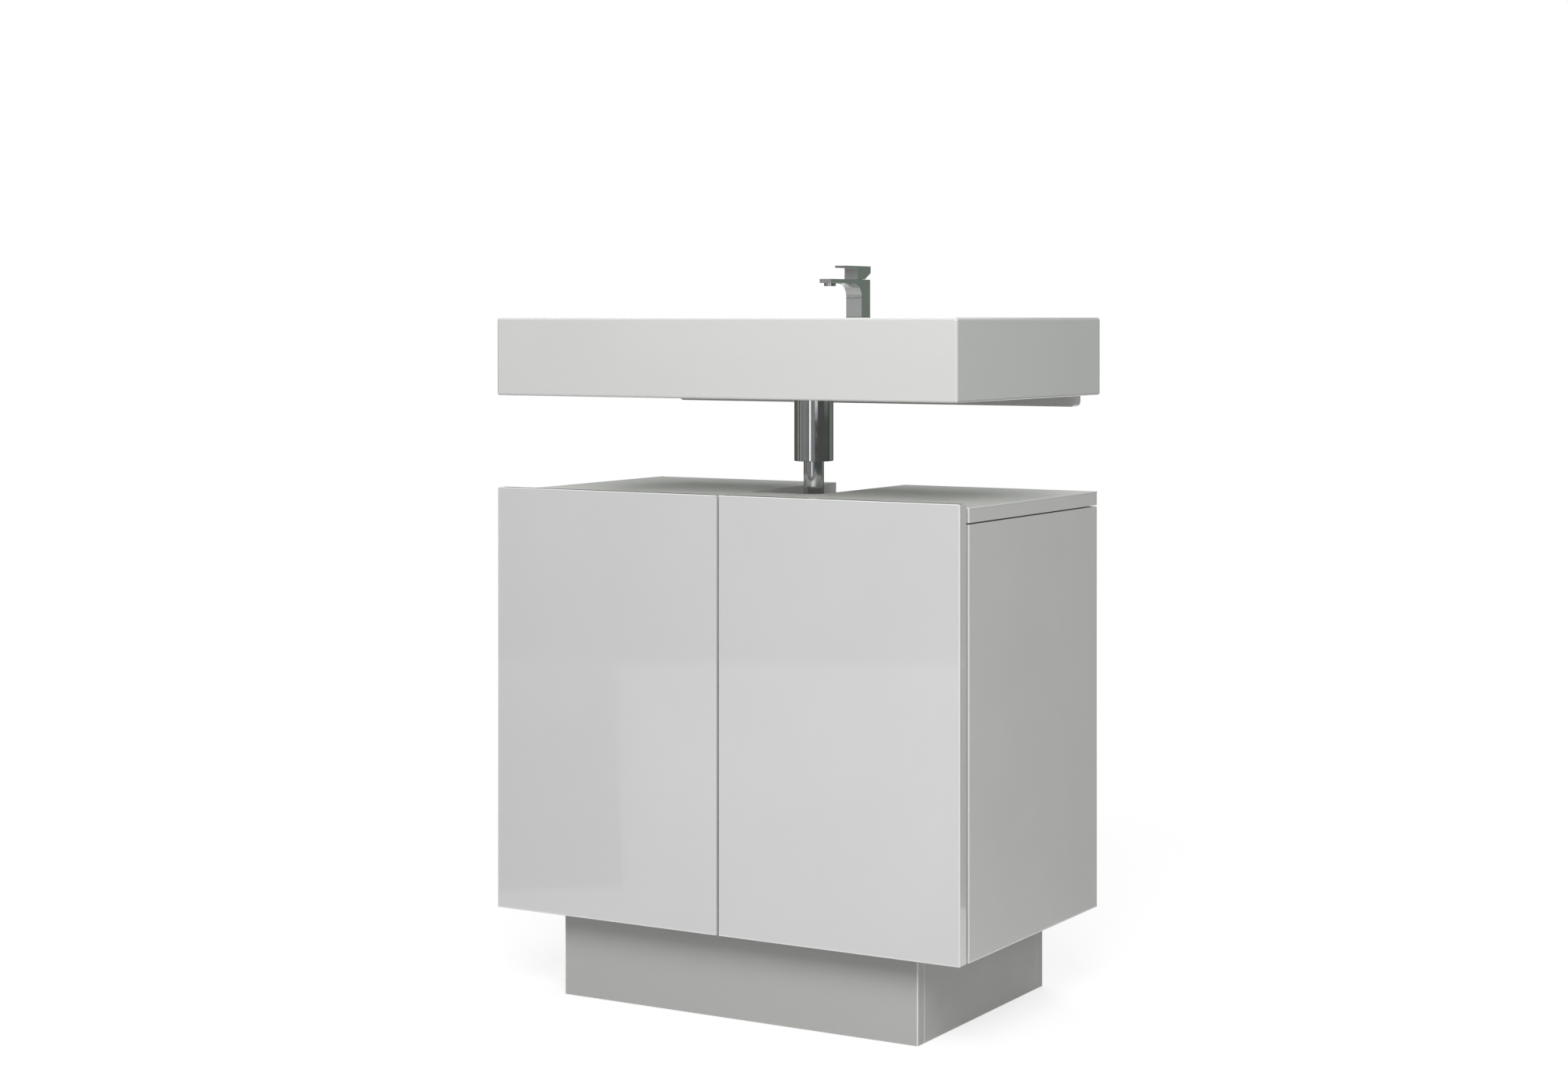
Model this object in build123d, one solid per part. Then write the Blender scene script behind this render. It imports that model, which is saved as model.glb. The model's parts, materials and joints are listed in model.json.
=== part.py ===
from build123d import *
import math
import os

# Bathroom vanity: a two-door cabinet on a recessed plinth with a slab basin above it.
# Millimetres, +Z up, doors face -Y.  Origin: on the floor, at the middle of the footprint.

# ---------------------------------------------------------------- boards and cabinet
BOARD = 16.0
CABINET_WIDTH = 600.0
SIDE_DEPTH = 332.0
WALL_GAP = 12.0
CABINET_HEIGHT = 482.7
TOP_SHADOW_GAP = 1.7
EDGE_ROUND = 0.8
BACK_THICKNESS = 6.0
BACK_INSET = 14.0
BACK_GROOVE_DEPTH = 8.0
GROOVE_CLEARANCE = 0.1
RAIL_DEPTH = 80.0
CUTOUT_HALF_WIDTH = 48.0
CUTOUT_BEFORE_DRAIN = 76.0
CUTOUT_CORNER = 18.0

# ---------------------------------------------------------------- doors
DOOR_THICKNESS = 16.0
DOOR_GAP_BEHIND = 6.0
DOOR_MIDDLE_GAP = 3.0
DOOR_RISE_OVER_TOP = 4.8

# ---------------------------------------------------------------- shelf and its pegs
LOWER_COMPARTMENT = 183.5
SHELF_SIDE_CLEARANCE = 1.0
SHELF_FRONT_SETBACK = 19.0
SHELF_BACK_GAP = 3.0
PEG_RADIUS = 2.5
PEG_HOLE_CLEARANCE = 0.05
PEG_LENGTH = 16.0
PEG_HOLE_DEPTH = 9.0
PEG_FROM_EDGE = 37.0
PEG_PITCH = 32.0
PEG_ROWS = (-1, 0, 1)

# ---------------------------------------------------------------- plinth
PLINTH_HEIGHT = 100.5
PLINTH_SIDE_INSET = 69.3
PLINTH_FRONT_SETBACK = 15.3
PLINTH_BACK_SETBACK = 1.7
BRACKET_LEG = 40.0
BRACKET_HEIGHT = 60.0
BRACKET_WALL = 2.0
BRACKET_FOOT = 20.0

# ---------------------------------------------------------------- concealed hinges
CUP_RADIUS = 17.5
CUP_FIT = 0.05
CUP_WALL = 1.0
CUP_DEPTH = 11.0
CUP_FROM_DOOR_EDGE = 22.5
CUP_FLANGE = 1.0
CUP_FLANGE_RING = 19.5
CUP_WING_HALF = 29.0
CUP_WING_OFFSET = 6.0
CUP_WING_WIDTH = 15.0
WING_END_FLAT = 1.0
CUP_SCREW_SPREAD = 24.0
PIVOT_FROM_DOOR_EDGE = 9.5
PIVOT_BEHIND_DOOR_BACK = -6.0
PIN_RADIUS = 1.25
PIN_RUNNING_FIT = 0.05
PIN_PRESS_FIT = 0.02
KNUCKLE_RADIUS = 2.4
KNUCKLE_HALF = 4.0
LUG_GAP = 0.4
LUG_THICKNESS = 3.2
LUG_HALF_WIDTH = 2.2
LUG_RISE = 2.4
ARM_REACH = 15.0
ARM_THICKNESS = 6.0
ARM_HALF_HEIGHT = 6.0
ARM_NECK_TOP = 1.5
ARM_NECK_START = 6.0
ARM_END_FROM_SIDE_FRONT = 53.0
ARM_CHANNEL = 3.0
ARM_CHANNEL_LIP = 1.5
ARM_SOLID_TAIL = 12.0
ARM_SCREW_FROM_TAIL = 6.0
PLATE_THICKNESS = 2.5
PLATE_FRONT_SETBACK = 19.0
PLATE_LENGTH = 36.0
PLATE_HALF_HEIGHT = 9.0
PLATE_WING_HALF = 25.0
PLATE_CORNER = 3.0
PLATE_WING_WIDTH = 13.0
PLATE_SCREW_SPREAD = 16.0
HINGE_FROM_DOOR_END = 90.0
SCREW_RADIUS = 1.95
SCREW_HOLE_CLEARANCE = 0.05
SCREW_HEAD_RADIUS = 3.6
SCREW_HEAD_HEIGHT = 1.4
SCREW_BITE = 11.0

# ---------------------------------------------------------------- push latches, strikes, buffers
LATCH_X = 45.0
LATCH_WIDTH = 16.0
LATCH_HEIGHT = 12.0
LATCH_LENGTH = 48.0
LATCH_SETBACK = 3.0
LATCH_ROUND = 2.0
PLUNGER_RADIUS = 3.5
PLUNGER_FIT = 0.05
PLUNGER_LENGTH = 34.0
PLUNGER_TRAVEL = 2.5
PLUNGER_END_GAP = 1.0
PLUNGER_ROUND = 1.0
STRIKE_RADIUS = 8.0
STRIKE_THICKNESS = 1.0
BUFFER_RADIUS = 4.5
BUFFER_X = 20.0

# ---------------------------------------------------------------- basin
BASIN_SIDE_INSET = 1.0
BASIN_DEPTH = 370.0
NICHE_HEIGHT = 111.8
BASIN_HEIGHT = 90.0
BASIN_ROUND = 3.0
RIM_WALL = 15.0
DECK_DEPTH = 90.0
BOWL_DEPTH = 70.0
BOWL_TAPER = 6.0
BOWL_CORNER = 28.0
BOWL_FLOOR_ROUND = 14.0
DRAIN_FROM_BOWL_BACK = 61.0
DRAIN_HOLE_RADIUS = 22.5
DISH_MARGIN = 1.0
DISH_END_MARGIN = 45.0
DRAIN_DISH_DEPTH = 3.0
DECK_THICKNESS = 14.0
BOWL_BACK_WALL = 13.0
CAVITY_END_WALL = 29.0
CAVITY_CORNER = 10.0
REAR_WALL = 15.5
RIB_INSET = 25.5
RIB_DROP = 14.0
RIB_CORNER = 6.0
DUCT_HALF_WIDTH = 21.0
DUCT_WALL = 6.0
DUCT_DEPTH = 13.0
RING_PROUD = 1.1
RING_LENGTH = 10.5
RING_WALL = 2.0
PAST = 1.0
CHANNEL_BEHIND_BOWL = 4.0
DUCT_CHANNEL_LOW = 5.0
DUCT_CHANNEL_HEIGHT = 6.0
OVERFLOW_RADIUS = 12.0
OVERFLOW_BELOW_RIM = 22.0
WALL_BOLT_SPREAD = 280.0
WALL_BOLT_HOLE_RADIUS = 7.0
WALL_BOLT_BELOW_RIM = 45.0

# ---------------------------------------------------------------- waste, trap and outlet
FLANGE_RADIUS = 31.5
FLANGE_THICKNESS = 2.5
FLANGE_FIT = 0.5
WASTE_TUBE_RADIUS = 20.0
WASTE_TUBE_WALL = 2.5
WASTE_SLOT_HALF_WIDTH = 9.0
WASTE_SLOT_INSIDE = 3.0
SLEEVE_RADIUS = 23.0
SLEEVE_WALL = 2.7
SLEEVE_LENGTH = 78.0
SLEEVE_FLOOR = 4.0
SLEEVE_ROUND = 0.6
SLIP_FIT = 0.05
TAILPIECE_RADIUS = 12.0
TAILPIECE_WALL = 1.5
TAILPIECE_FLANGE = 3.0
TAILPIECE_OVER_CUP = 8.0
PLUG_RADIUS = 28.0
PLUG_THICKNESS = 5.0
PLUG_ROUND = 2.0
PLUG_SEAL_HEIGHT = 1.5
PLUG_SEAL_OUTER = 26.0
PLUG_SEAL_INNER = 23.0
PLUG_STEM_RADIUS = 4.0
PLUG_STEM_FIT = 0.08
PLUG_STEM_LENGTH = 38.0
GUIDE_BELOW_SEAT = 20.0
GUIDE_HEIGHT = 5.0
GUIDE_HUB_RADIUS = 6.5
GUIDE_SPOKE = 3.0
SPOKE_BITE = 0.5
BOTTLE_RADIUS = 30.0
BOTTLE_WALL = 2.5
BOTTLE_BELOW_TOP_PANEL = 89.2
BOTTLE_HEIGHT = 58.0
BOTTLE_NECK_RADIUS = 17.0
BOTTLE_NECK_HEIGHT = 18.0
BOTTLE_SHOULDER = 8.0
NECK_BORE_LAP = 2.0
CUP_TOP_LAP = 14.0
TRAP_CUP_RADIUS = 33.0
TRAP_CUP_DEPTH = 28.0
TRAP_CUP_ROUND = 8.0
TRAP_NUT_RADIUS = 21.0
TRAP_NUT_HEIGHT = 16.0
NUT_END_WALL = 4.0
OUTLET_RADIUS = 16.0
OUTLET_WALL = 1.5
OUTLET_BELOW_SHOULDER = 22.0
OUTLET_PORT_WALL = 3.0
OUTLET_PORT_REACH = 46.0
OUTLET_START = 36.0
OUTLET_NUT_RADIUS = 24.0
OUTLET_NUT_LENGTH = 16.0
NUT_FACETS = 12
COLLAR_FLANGE = 6.0
COLLAR_WALL = 3.0
COLLAR_LIP = 2.0
ROSETTE_RADIUS = 35.0
ROSETTE_THICKNESS = 4.0
ROSETTE_ROUND = 2.5

# ---------------------------------------------------------------- tap
TAP_FROM_BOWL = 47.0
TAP_GASKET = 0.8
TAP_HALF = 10.8
TAP_HEIGHT = 46.0
SPOUT_REACH = 70.0
SPOUT_TIP_HALF = 7.9
SPOUT_THICKNESS = 4.8
SPOUT_BLEND_LENGTH = 26.0
SPOUT_BLEND_DROP = 18.0
TAP_EDGE = 0.6
AERATOR_RADIUS = 7.0
AERATOR_DROP = 3.6
AERATOR_SOCKET = 5.6
AERATOR_SOCKET_DEPTH = 2.4
AERATOR_BORE = 4.6
AERATOR_FROM_TIP = 11.3
CARTRIDGE_RADIUS = 9.0
CARTRIDGE_DEPTH = 7.0
SPINDLE_RADIUS = 4.4
SPINDLE_DEPTH = 10.0
SWIVEL_RADIUS = 5.4
SWIVEL_BORE_CLEARANCE = 1.9
SWIVEL_TOP_OVER_PIVOT = 4.0
LEVER_GAP = 0.3
LEVER_HALF = 9.15
LEVER_FRONT_OVERHANG = 17.5
LEVER_REAR_OVERHANG = 15.1
LEVER_HEIGHT = 15.9
LEVER_BLADE = 2.5
LEVER_BLADE_REACH = 28.7
LEVER_TIP_HALF = 6.25
LEVER_PIVOT_RISE = 6.5
LEVER_NOTCH = 7.9
LEVER_ROOF = 2.6
CROSS_PIN_RADIUS = 1.5
CROSS_PIN_WALL = 0.8
CROSS_PIN_END_GAP = 0.4
TAP_HOLE_RADIUS = 9.5
STUD_RADIUS = 3.0
STUD_OFFSET = -4.5
STUD_BELOW_DECK = 19.0
INLET_RADIUS = 3.2
INLET_SPREAD = 4.7
INLET_OFFSET = 3.2
INLET_BELOW_DECK = 49.0
INLET_BORE = 2.0
TAP_SOCKET_DEPTH = 8.0
TAP_WASHER_RADIUS = 16.0
TAP_WASHER_THICKNESS = 2.5
TAP_NUT_RADIUS = 5.2
TAP_NUT_HEIGHT = 5.0

# ---------------------------------------------------------------- values that follow from the above
HALF = CABINET_WIDTH / 2
INNER_X = HALF - BOARD
BASIN_WIDTH = CABINET_WIDTH - 2 * BASIN_SIDE_INSET
BASIN_FRONT_Y = -BASIN_DEPTH / 2
WALL_Y = BASIN_DEPTH / 2
CABINET_BACK_Y = WALL_Y - WALL_GAP
SIDE_FRONT_Y = CABINET_BACK_Y - SIDE_DEPTH
TOP_FACE_Z = PLINTH_HEIGHT + CABINET_HEIGHT
BASIN_UNDERSIDE_Z = TOP_FACE_Z + NICHE_HEIGHT
PLINTH_HALF = HALF - PLINTH_SIDE_INSET
PLINTH_FRONT_Y = SIDE_FRONT_Y + PLINTH_FRONT_SETBACK
PLINTH_BACK_Y = CABINET_BACK_Y - PLINTH_BACK_SETBACK
TOP_UNDERSIDE_Z = TOP_FACE_Z - BOARD
SIDE_TOP_Z = TOP_UNDERSIDE_Z - TOP_SHADOW_GAP
FLOOR_BOARD_TOP_Z = PLINTH_HEIGHT + BOARD
SHELF_UNDERSIDE_Z = FLOOR_BOARD_TOP_Z + LOWER_COMPARTMENT
BACK_REAR_Y = CABINET_BACK_Y - BACK_INSET
BACK_FRONT_Y = BACK_REAR_Y - BACK_THICKNESS
DOOR_BACK_Y = SIDE_FRONT_Y - DOOR_GAP_BEHIND
DOOR_FRONT_Y = DOOR_BACK_Y - DOOR_THICKNESS
DOOR_TOP_Z = TOP_FACE_Z + DOOR_RISE_OVER_TOP
CUP_X = HALF - CUP_FROM_DOOR_EDGE
CUP_INNER = CUP_RADIUS - CUP_WALL
PIVOT_X = HALF - PIVOT_FROM_DOOR_EDGE
PIVOT_Y = DOOR_BACK_Y + PIVOT_BEHIND_DOOR_BACK
HINGE_ZS = (PLINTH_HEIGHT + HINGE_FROM_DOOR_END, DOOR_TOP_Z - HINGE_FROM_DOOR_END)
LUG_START = KNUCKLE_HALF + LUG_GAP
LUG_END = LUG_START + LUG_THICKNESS
PLATE_FACE_X = INNER_X - PLATE_THICKNESS
ARM_INNER_X = PLATE_FACE_X - ARM_THICKNESS
PLATE_FRONT_Y = SIDE_FRONT_Y + PLATE_FRONT_SETBACK
PLATE_MIDDLE_Y = PLATE_FRONT_Y + PLATE_LENGTH / 2
ARM_END_Y = SIDE_FRONT_Y + ARM_END_FROM_SIDE_FRONT
ARM_SCREW_Y = ARM_END_Y - ARM_SCREW_FROM_TAIL
SCREW_HOLE = SCREW_RADIUS + SCREW_HOLE_CLEARANCE
LATCH_TOP_Z = TOP_UNDERSIDE_Z - BOARD
LATCH_Z = LATCH_TOP_Z - LATCH_HEIGHT / 2
LATCH_FRONT_Y = SIDE_FRONT_Y + LATCH_SETBACK
STRIKE_FACE_Y = DOOR_BACK_Y + STRIKE_THICKNESS
BUFFER_FACE_Y = SIDE_FRONT_Y - PLUNGER_TRAVEL
PEG_Z = SHELF_UNDERSIDE_Z - PEG_RADIUS
PEG_YS = (SIDE_FRONT_Y + PEG_FROM_EDGE, BACK_FRONT_Y - PEG_FROM_EDGE)
RIM_Z = BASIN_UNDERSIDE_Z + BASIN_HEIGHT
BOWL_FRONT_Y = BASIN_FRONT_Y + RIM_WALL
BOWL_BACK_Y = WALL_Y - DECK_DEPTH
DRAIN_Y = BOWL_BACK_Y - DRAIN_FROM_BOWL_BACK
CUTOUT_FRONT_Y = DRAIN_Y - CUTOUT_BEFORE_DRAIN
CAVITY_FRONT_Y = BOWL_BACK_Y + BOWL_BACK_WALL
CAVITY_HALF_WIDTH = BASIN_WIDTH / 2 - CAVITY_END_WALL
DUCT_BACK_Y = CAVITY_FRONT_Y + DUCT_DEPTH
RIB_HALF_WIDTH = BASIN_WIDTH / 2 - RIB_INSET
BOWL_FLOOR_Z = RIM_Z - BOWL_DEPTH
SLOPE = math.tan(math.radians(BOWL_TAPER))
FLOOR_INSET = BOWL_DEPTH * SLOPE + BOWL_FLOOR_ROUND
FLOOR_FRONT_Y = BOWL_FRONT_Y + FLOOR_INSET
FLOOR_BACK_Y = BOWL_BACK_Y - FLOOR_INSET
FLOOR_HALF_WIDTH = BASIN_WIDTH / 2 - RIM_WALL - FLOOR_INSET
SEAT_Z = BOWL_FLOOR_Z - DRAIN_DISH_DEPTH
FLANGE_UNDERSIDE_Z = SEAT_Z - FLANGE_THICKNESS
DECK_UNDERSIDE_Z = RIM_Z - DECK_THICKNESS
CHANNEL_BOTTOM_Z = BASIN_UNDERSIDE_Z + DUCT_CHANNEL_LOW
CHANNEL_TOP_Z = CHANNEL_BOTTOM_Z + DUCT_CHANNEL_HEIGHT
CHANNEL_HALF = DUCT_HALF_WIDTH - DUCT_WALL
OVERFLOW_Z = RIM_Z - OVERFLOW_BELOW_RIM
SLEEVE_BOTTOM_Z = BASIN_UNDERSIDE_Z - SLEEVE_LENGTH
SLEEVE_INNER_FLOOR_Z = SLEEVE_BOTTOM_Z + SLEEVE_FLOOR
WASTE_TUBE_END_Z = SLEEVE_INNER_FLOOR_Z + TAILPIECE_FLANGE
BOTTLE_TOP_Z = TOP_UNDERSIDE_Z - BOTTLE_BELOW_TOP_PANEL
BOTTLE_BOTTOM_Z = BOTTLE_TOP_Z - BOTTLE_HEIGHT
TRAP_CUP_BOTTOM_Z = BOTTLE_BOTTOM_Z - TRAP_CUP_DEPTH
TAILPIECE_END_Z = BOTTLE_BOTTOM_Z + TAILPIECE_OVER_CUP
OUTLET_Z = BOTTLE_TOP_Z - OUTLET_BELOW_SHOULDER
OUTLET_PORT_RADIUS = OUTLET_RADIUS + SLIP_FIT + OUTLET_PORT_WALL
PORT_END_Y = DRAIN_Y + OUTLET_PORT_REACH
TAP_Y = BOWL_BACK_Y + TAP_FROM_BOWL
TAP_BASE_Z = RIM_Z + TAP_GASKET
TAP_TOP_Z = RIM_Z + TAP_HEIGHT
STUD_END_Z = DECK_UNDERSIDE_Z - STUD_BELOW_DECK
INLET_END_Z = DECK_UNDERSIDE_Z - INLET_BELOW_DECK
LEVER_BASE_Z = TAP_TOP_Z + LEVER_GAP
LEVER_TOP_Z = LEVER_BASE_Z + LEVER_HEIGHT
LEVER_PIVOT_Z = TAP_TOP_Z + LEVER_PIVOT_RISE
LEVER_BORE = SWIVEL_RADIUS + SWIVEL_BORE_CLEARANCE
LEVER_FRONT_Y = TAP_Y - LEVER_FRONT_OVERHANG
LEVER_REAR_Y = TAP_Y + LEVER_REAR_OVERHANG
TAP_FRONT_Y = TAP_Y - TAP_HALF
TAP_REAR_Y = TAP_Y + TAP_HALF
SPOUT_TIP_Y = TAP_FRONT_Y - SPOUT_REACH
AERATOR_Y = SPOUT_TIP_Y + AERATOR_FROM_TIP
SPOUT_UNDERSIDE_Z = TAP_TOP_Z - SPOUT_THICKNESS


# ---------------------------------------------------------------- helpers
def block(x0, x1, y0, y1, z0, z1):
    """A box given by its two corners."""
    return Pos((x0 + x1) / 2, (y0 + y1) / 2, (z0 + z1) / 2) * Box(x1 - x0, y1 - y0, z1 - z0)


def rod_x(x0, x1, y, z, radius):
    return Pos((x0 + x1) / 2, y, z) * Rot(0, 90, 0) * Cylinder(radius, abs(x1 - x0))


def rod_y(x, y0, y1, z, radius):
    return Pos(x, (y0 + y1) / 2, z) * Rot(90, 0, 0) * Cylinder(radius, abs(y1 - y0))


def rod_z(x, y, z0, z1, radius):
    return Pos(x, y, (z0 + z1) / 2) * Cylinder(radius, abs(z1 - z0))


def tube_z(x, y, z0, z1, outer, inner):
    return rod_z(x, y, z0, z1, outer) - rod_z(x, y, z0, z1, inner)


def mirrored(shape):
    """The same piece on the other side of the cabinet."""
    return mirror(shape, about=Plane.YZ)


def hexagon_z(x, y, z0, z1, radius):
    return Pos(x, y, z0) * extrude(RegularPolygon(radius, 6), z1 - z0)


def hexagon_y(x, y0, y1, z, radius, sides):
    profile = Plane(origin=(x, y0, z), z_dir=(0, 1, 0)) * RegularPolygon(radius, sides)
    return extrude(profile, y1 - y0)


def joined(pieces):
    return Compound(children=list(pieces))


def save(name, shape):
    export_step(shape, "parts/" + name + ".step")


# ---------------------------------------------------------------- cabinet boards
def side_panel():
    """Right-hand side: grooved for the back, drilled for shelf pegs and hinge plates."""
    board = block(INNER_X, HALF, SIDE_FRONT_Y, CABINET_BACK_Y, PLINTH_HEIGHT, SIDE_TOP_Z)
    board = fillet(board.edges().filter_by(Axis.Z).sort_by(Axis.X)[-2:], EDGE_ROUND)
    board -= block(INNER_X, INNER_X + BACK_GROOVE_DEPTH, BACK_FRONT_Y - GROOVE_CLEARANCE,
                   BACK_REAR_Y + GROOVE_CLEARANCE, FLOOR_BOARD_TOP_Z - BACK_GROOVE_DEPTH, SIDE_TOP_Z)
    for y in PEG_YS:
        for row in PEG_ROWS:
            board -= rod_x(INNER_X, INNER_X + PEG_HOLE_DEPTH, y, PEG_Z + row * PEG_PITCH,
                           PEG_RADIUS + PEG_HOLE_CLEARANCE)
    for z in HINGE_ZS:
        for y, dz in plate_screw_places():
            board -= rod_x(INNER_X, INNER_X + SCREW_BITE, y, z + dz, SCREW_HOLE)
    return board


def bottom_panel():
    board = block(-INNER_X, INNER_X, SIDE_FRONT_Y, CABINET_BACK_Y, PLINTH_HEIGHT, FLOOR_BOARD_TOP_Z)
    board -= block(-INNER_X, INNER_X, BACK_FRONT_Y - GROOVE_CLEARANCE, BACK_REAR_Y + GROOVE_CLEARANCE,
                   FLOOR_BOARD_TOP_Z - BACK_GROOVE_DEPTH, FLOOR_BOARD_TOP_Z)
    return board


def top_panel():
    """Cover board with a service cut-out that is open at the wall."""
    board = block(-HALF, HALF, SIDE_FRONT_Y, CABINET_BACK_Y, TOP_UNDERSIDE_Z, TOP_FACE_Z)
    cut = block(-CUTOUT_HALF_WIDTH, CUTOUT_HALF_WIDTH, CUTOUT_FRONT_Y, CABINET_BACK_Y + BOARD,
                TOP_UNDERSIDE_Z - PAST, TOP_FACE_Z + PAST)
    cut = fillet(cut.edges().filter_by(Axis.Z).sort_by(Axis.Y)[:2], CUTOUT_CORNER)
    board = fillet(board.edges().filter_by(Axis.Z) + board.edges().group_by(Axis.Z)[-1], EDGE_ROUND)
    return board - cut


def back_panel():
    board = block(-INNER_X - BACK_GROOVE_DEPTH, INNER_X + BACK_GROOVE_DEPTH, BACK_FRONT_Y, BACK_REAR_Y,
                  FLOOR_BOARD_TOP_Z - BACK_GROOVE_DEPTH, TOP_UNDERSIDE_Z)
    hole = OUTLET_RADIUS + COLLAR_WALL + SLIP_FIT
    return board - rod_y(0, BACK_FRONT_Y, BACK_REAR_Y, OUTLET_Z, hole)


def front_rail():
    return block(-INNER_X, INNER_X, SIDE_FRONT_Y, SIDE_FRONT_Y + RAIL_DEPTH, LATCH_TOP_Z, TOP_UNDERSIDE_Z)


def shelf():
    half = INNER_X - SHELF_SIDE_CLEARANCE
    board = block(-half, half, SIDE_FRONT_Y + SHELF_FRONT_SETBACK, BACK_FRONT_Y - SHELF_BACK_GAP,
                  SHELF_UNDERSIDE_Z, SHELF_UNDERSIDE_Z + BOARD)
    return fillet(board.edges().filter_by(Axis.X).sort_by(Axis.Y)[:2], EDGE_ROUND)


def shelf_pegs():
    pegs = []
    for y in PEG_YS:
        end = INNER_X + PEG_HOLE_DEPTH - SHELF_SIDE_CLEARANCE
        peg = rod_x(end - PEG_LENGTH, end, y, PEG_Z, PEG_RADIUS)
        pegs += [peg, mirrored(peg)]
    return joined(pegs)


def plinth_front():
    half = PLINTH_HALF
    board = block(-half, half, PLINTH_FRONT_Y, PLINTH_FRONT_Y + BOARD, 0, PLINTH_HEIGHT)
    return fillet(board.edges().filter_by(Axis.Z), EDGE_ROUND)


def plinth_back():
    half = PLINTH_HALF
    return block(-half, half, PLINTH_BACK_Y - BOARD, PLINTH_BACK_Y, 0, PLINTH_HEIGHT)


def plinth_side():
    half = PLINTH_HALF
    return block(half - BOARD, half, PLINTH_FRONT_Y + BOARD, PLINTH_BACK_Y - BOARD, 0, PLINTH_HEIGHT)


def plinth_brackets():
    """Bent corner brackets that tie the plinth boards to each other and to the bottom board."""
    brackets = []
    x = PLINTH_HALF - BOARD
    for y, way in ((PLINTH_FRONT_Y + BOARD, 1), (PLINTH_BACK_Y - BOARD, -1)):
        low = PLINTH_HEIGHT - BRACKET_HEIGHT
        leg_y = sorted((y, y + way * BRACKET_LEG))
        wall_y = sorted((y, y + way * BRACKET_WALL))
        bracket = block(x - BRACKET_WALL, x, *leg_y, low, PLINTH_HEIGHT)
        bracket += block(x - BRACKET_LEG, x, *wall_y, low, PLINTH_HEIGHT)
        bracket += block(x - BRACKET_FOOT, x, *sorted((y, y + way * BRACKET_FOOT)),
                         PLINTH_HEIGHT - BRACKET_WALL, PLINTH_HEIGHT)
        brackets += [bracket, mirrored(bracket)]
    return joined(brackets)


# ---------------------------------------------------------------- doors and hinges
def door():
    """Right-hand slab door with the two hinge cup pockets in its back."""
    board = block(DOOR_MIDDLE_GAP / 2, HALF, DOOR_FRONT_Y, DOOR_BACK_Y, PLINTH_HEIGHT, DOOR_TOP_Z)
    board = fillet(board.edges(), EDGE_ROUND)
    for z in HINGE_ZS:
        board -= rod_y(CUP_X, DOOR_BACK_Y - CUP_DEPTH, DOOR_BACK_Y, z, CUP_RADIUS + CUP_FIT)
        for side in (-1, 1):
            board -= rod_y(CUP_X - CUP_WING_OFFSET, DOOR_BACK_Y - SCREW_BITE, DOOR_BACK_Y,
                           z + side * CUP_SCREW_SPREAD, SCREW_HOLE)
    return board


def hinge_cup(z):
    """Drawn steel cup with screw wings and two lugs that hold the hinge pin."""
    wing_x = CUP_X - CUP_WING_OFFSET
    cup = rod_y(CUP_X, DOOR_BACK_Y - CUP_DEPTH, DOOR_BACK_Y + CUP_FLANGE, z, CUP_RADIUS)
    wings = block(wing_x - CUP_WING_WIDTH / 2, wing_x + CUP_WING_WIDTH / 2, DOOR_BACK_Y,
                  DOOR_BACK_Y + CUP_FLANGE, z - CUP_WING_HALF, z + CUP_WING_HALF)
    cup += fillet(wings.edges().filter_by(Axis.Y), CUP_WING_WIDTH / 2 - WING_END_FLAT)
    cup += rod_y(CUP_X, DOOR_BACK_Y, DOOR_BACK_Y + CUP_FLANGE, z, CUP_FLANGE_RING)
    floor_y = DOOR_BACK_Y - CUP_DEPTH + CUP_WALL
    cup -= rod_y(CUP_X, floor_y, DOOR_BACK_Y + CUP_FLANGE + PAST, z, CUP_INNER)
    for side in (-1, 1):
        lug_z = sorted((z + side * LUG_START, z + side * LUG_END))
        cup += block(PIVOT_X - LUG_HALF_WIDTH, PIVOT_X + LUG_HALF_WIDTH, floor_y - CUP_WALL / 2,
                     PIVOT_Y + LUG_RISE, *lug_z)
        cup -= rod_y(wing_x, DOOR_BACK_Y, DOOR_BACK_Y + CUP_FLANGE, z + side * CUP_SCREW_SPREAD, SCREW_HOLE)
    return cup - rod_z(PIVOT_X, PIVOT_Y, z - LUG_END, z + LUG_END, PIN_RADIUS + PIN_PRESS_FIT)


def hinge_cups():
    return joined([hinge_cup(z) for z in HINGE_ZS])


def hinge_pins():
    return joined([rod_z(PIVOT_X, PIVOT_Y, z - LUG_END, z + LUG_END, PIN_RADIUS) for z in HINGE_ZS])


def cup_screws():
    screws = []
    x = CUP_X - CUP_WING_OFFSET
    face = DOOR_BACK_Y + CUP_FLANGE
    for z in HINGE_ZS:
        for side in (-1, 1):
            at = z + side * CUP_SCREW_SPREAD
            screw = rod_y(x, DOOR_BACK_Y - SCREW_BITE + PAST, face, at, SCREW_RADIUS)
            screw += rod_y(x, face, face + SCREW_HEAD_HEIGHT, at, SCREW_HEAD_RADIUS)
            screws.append(screw)
    return joined(screws)


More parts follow.
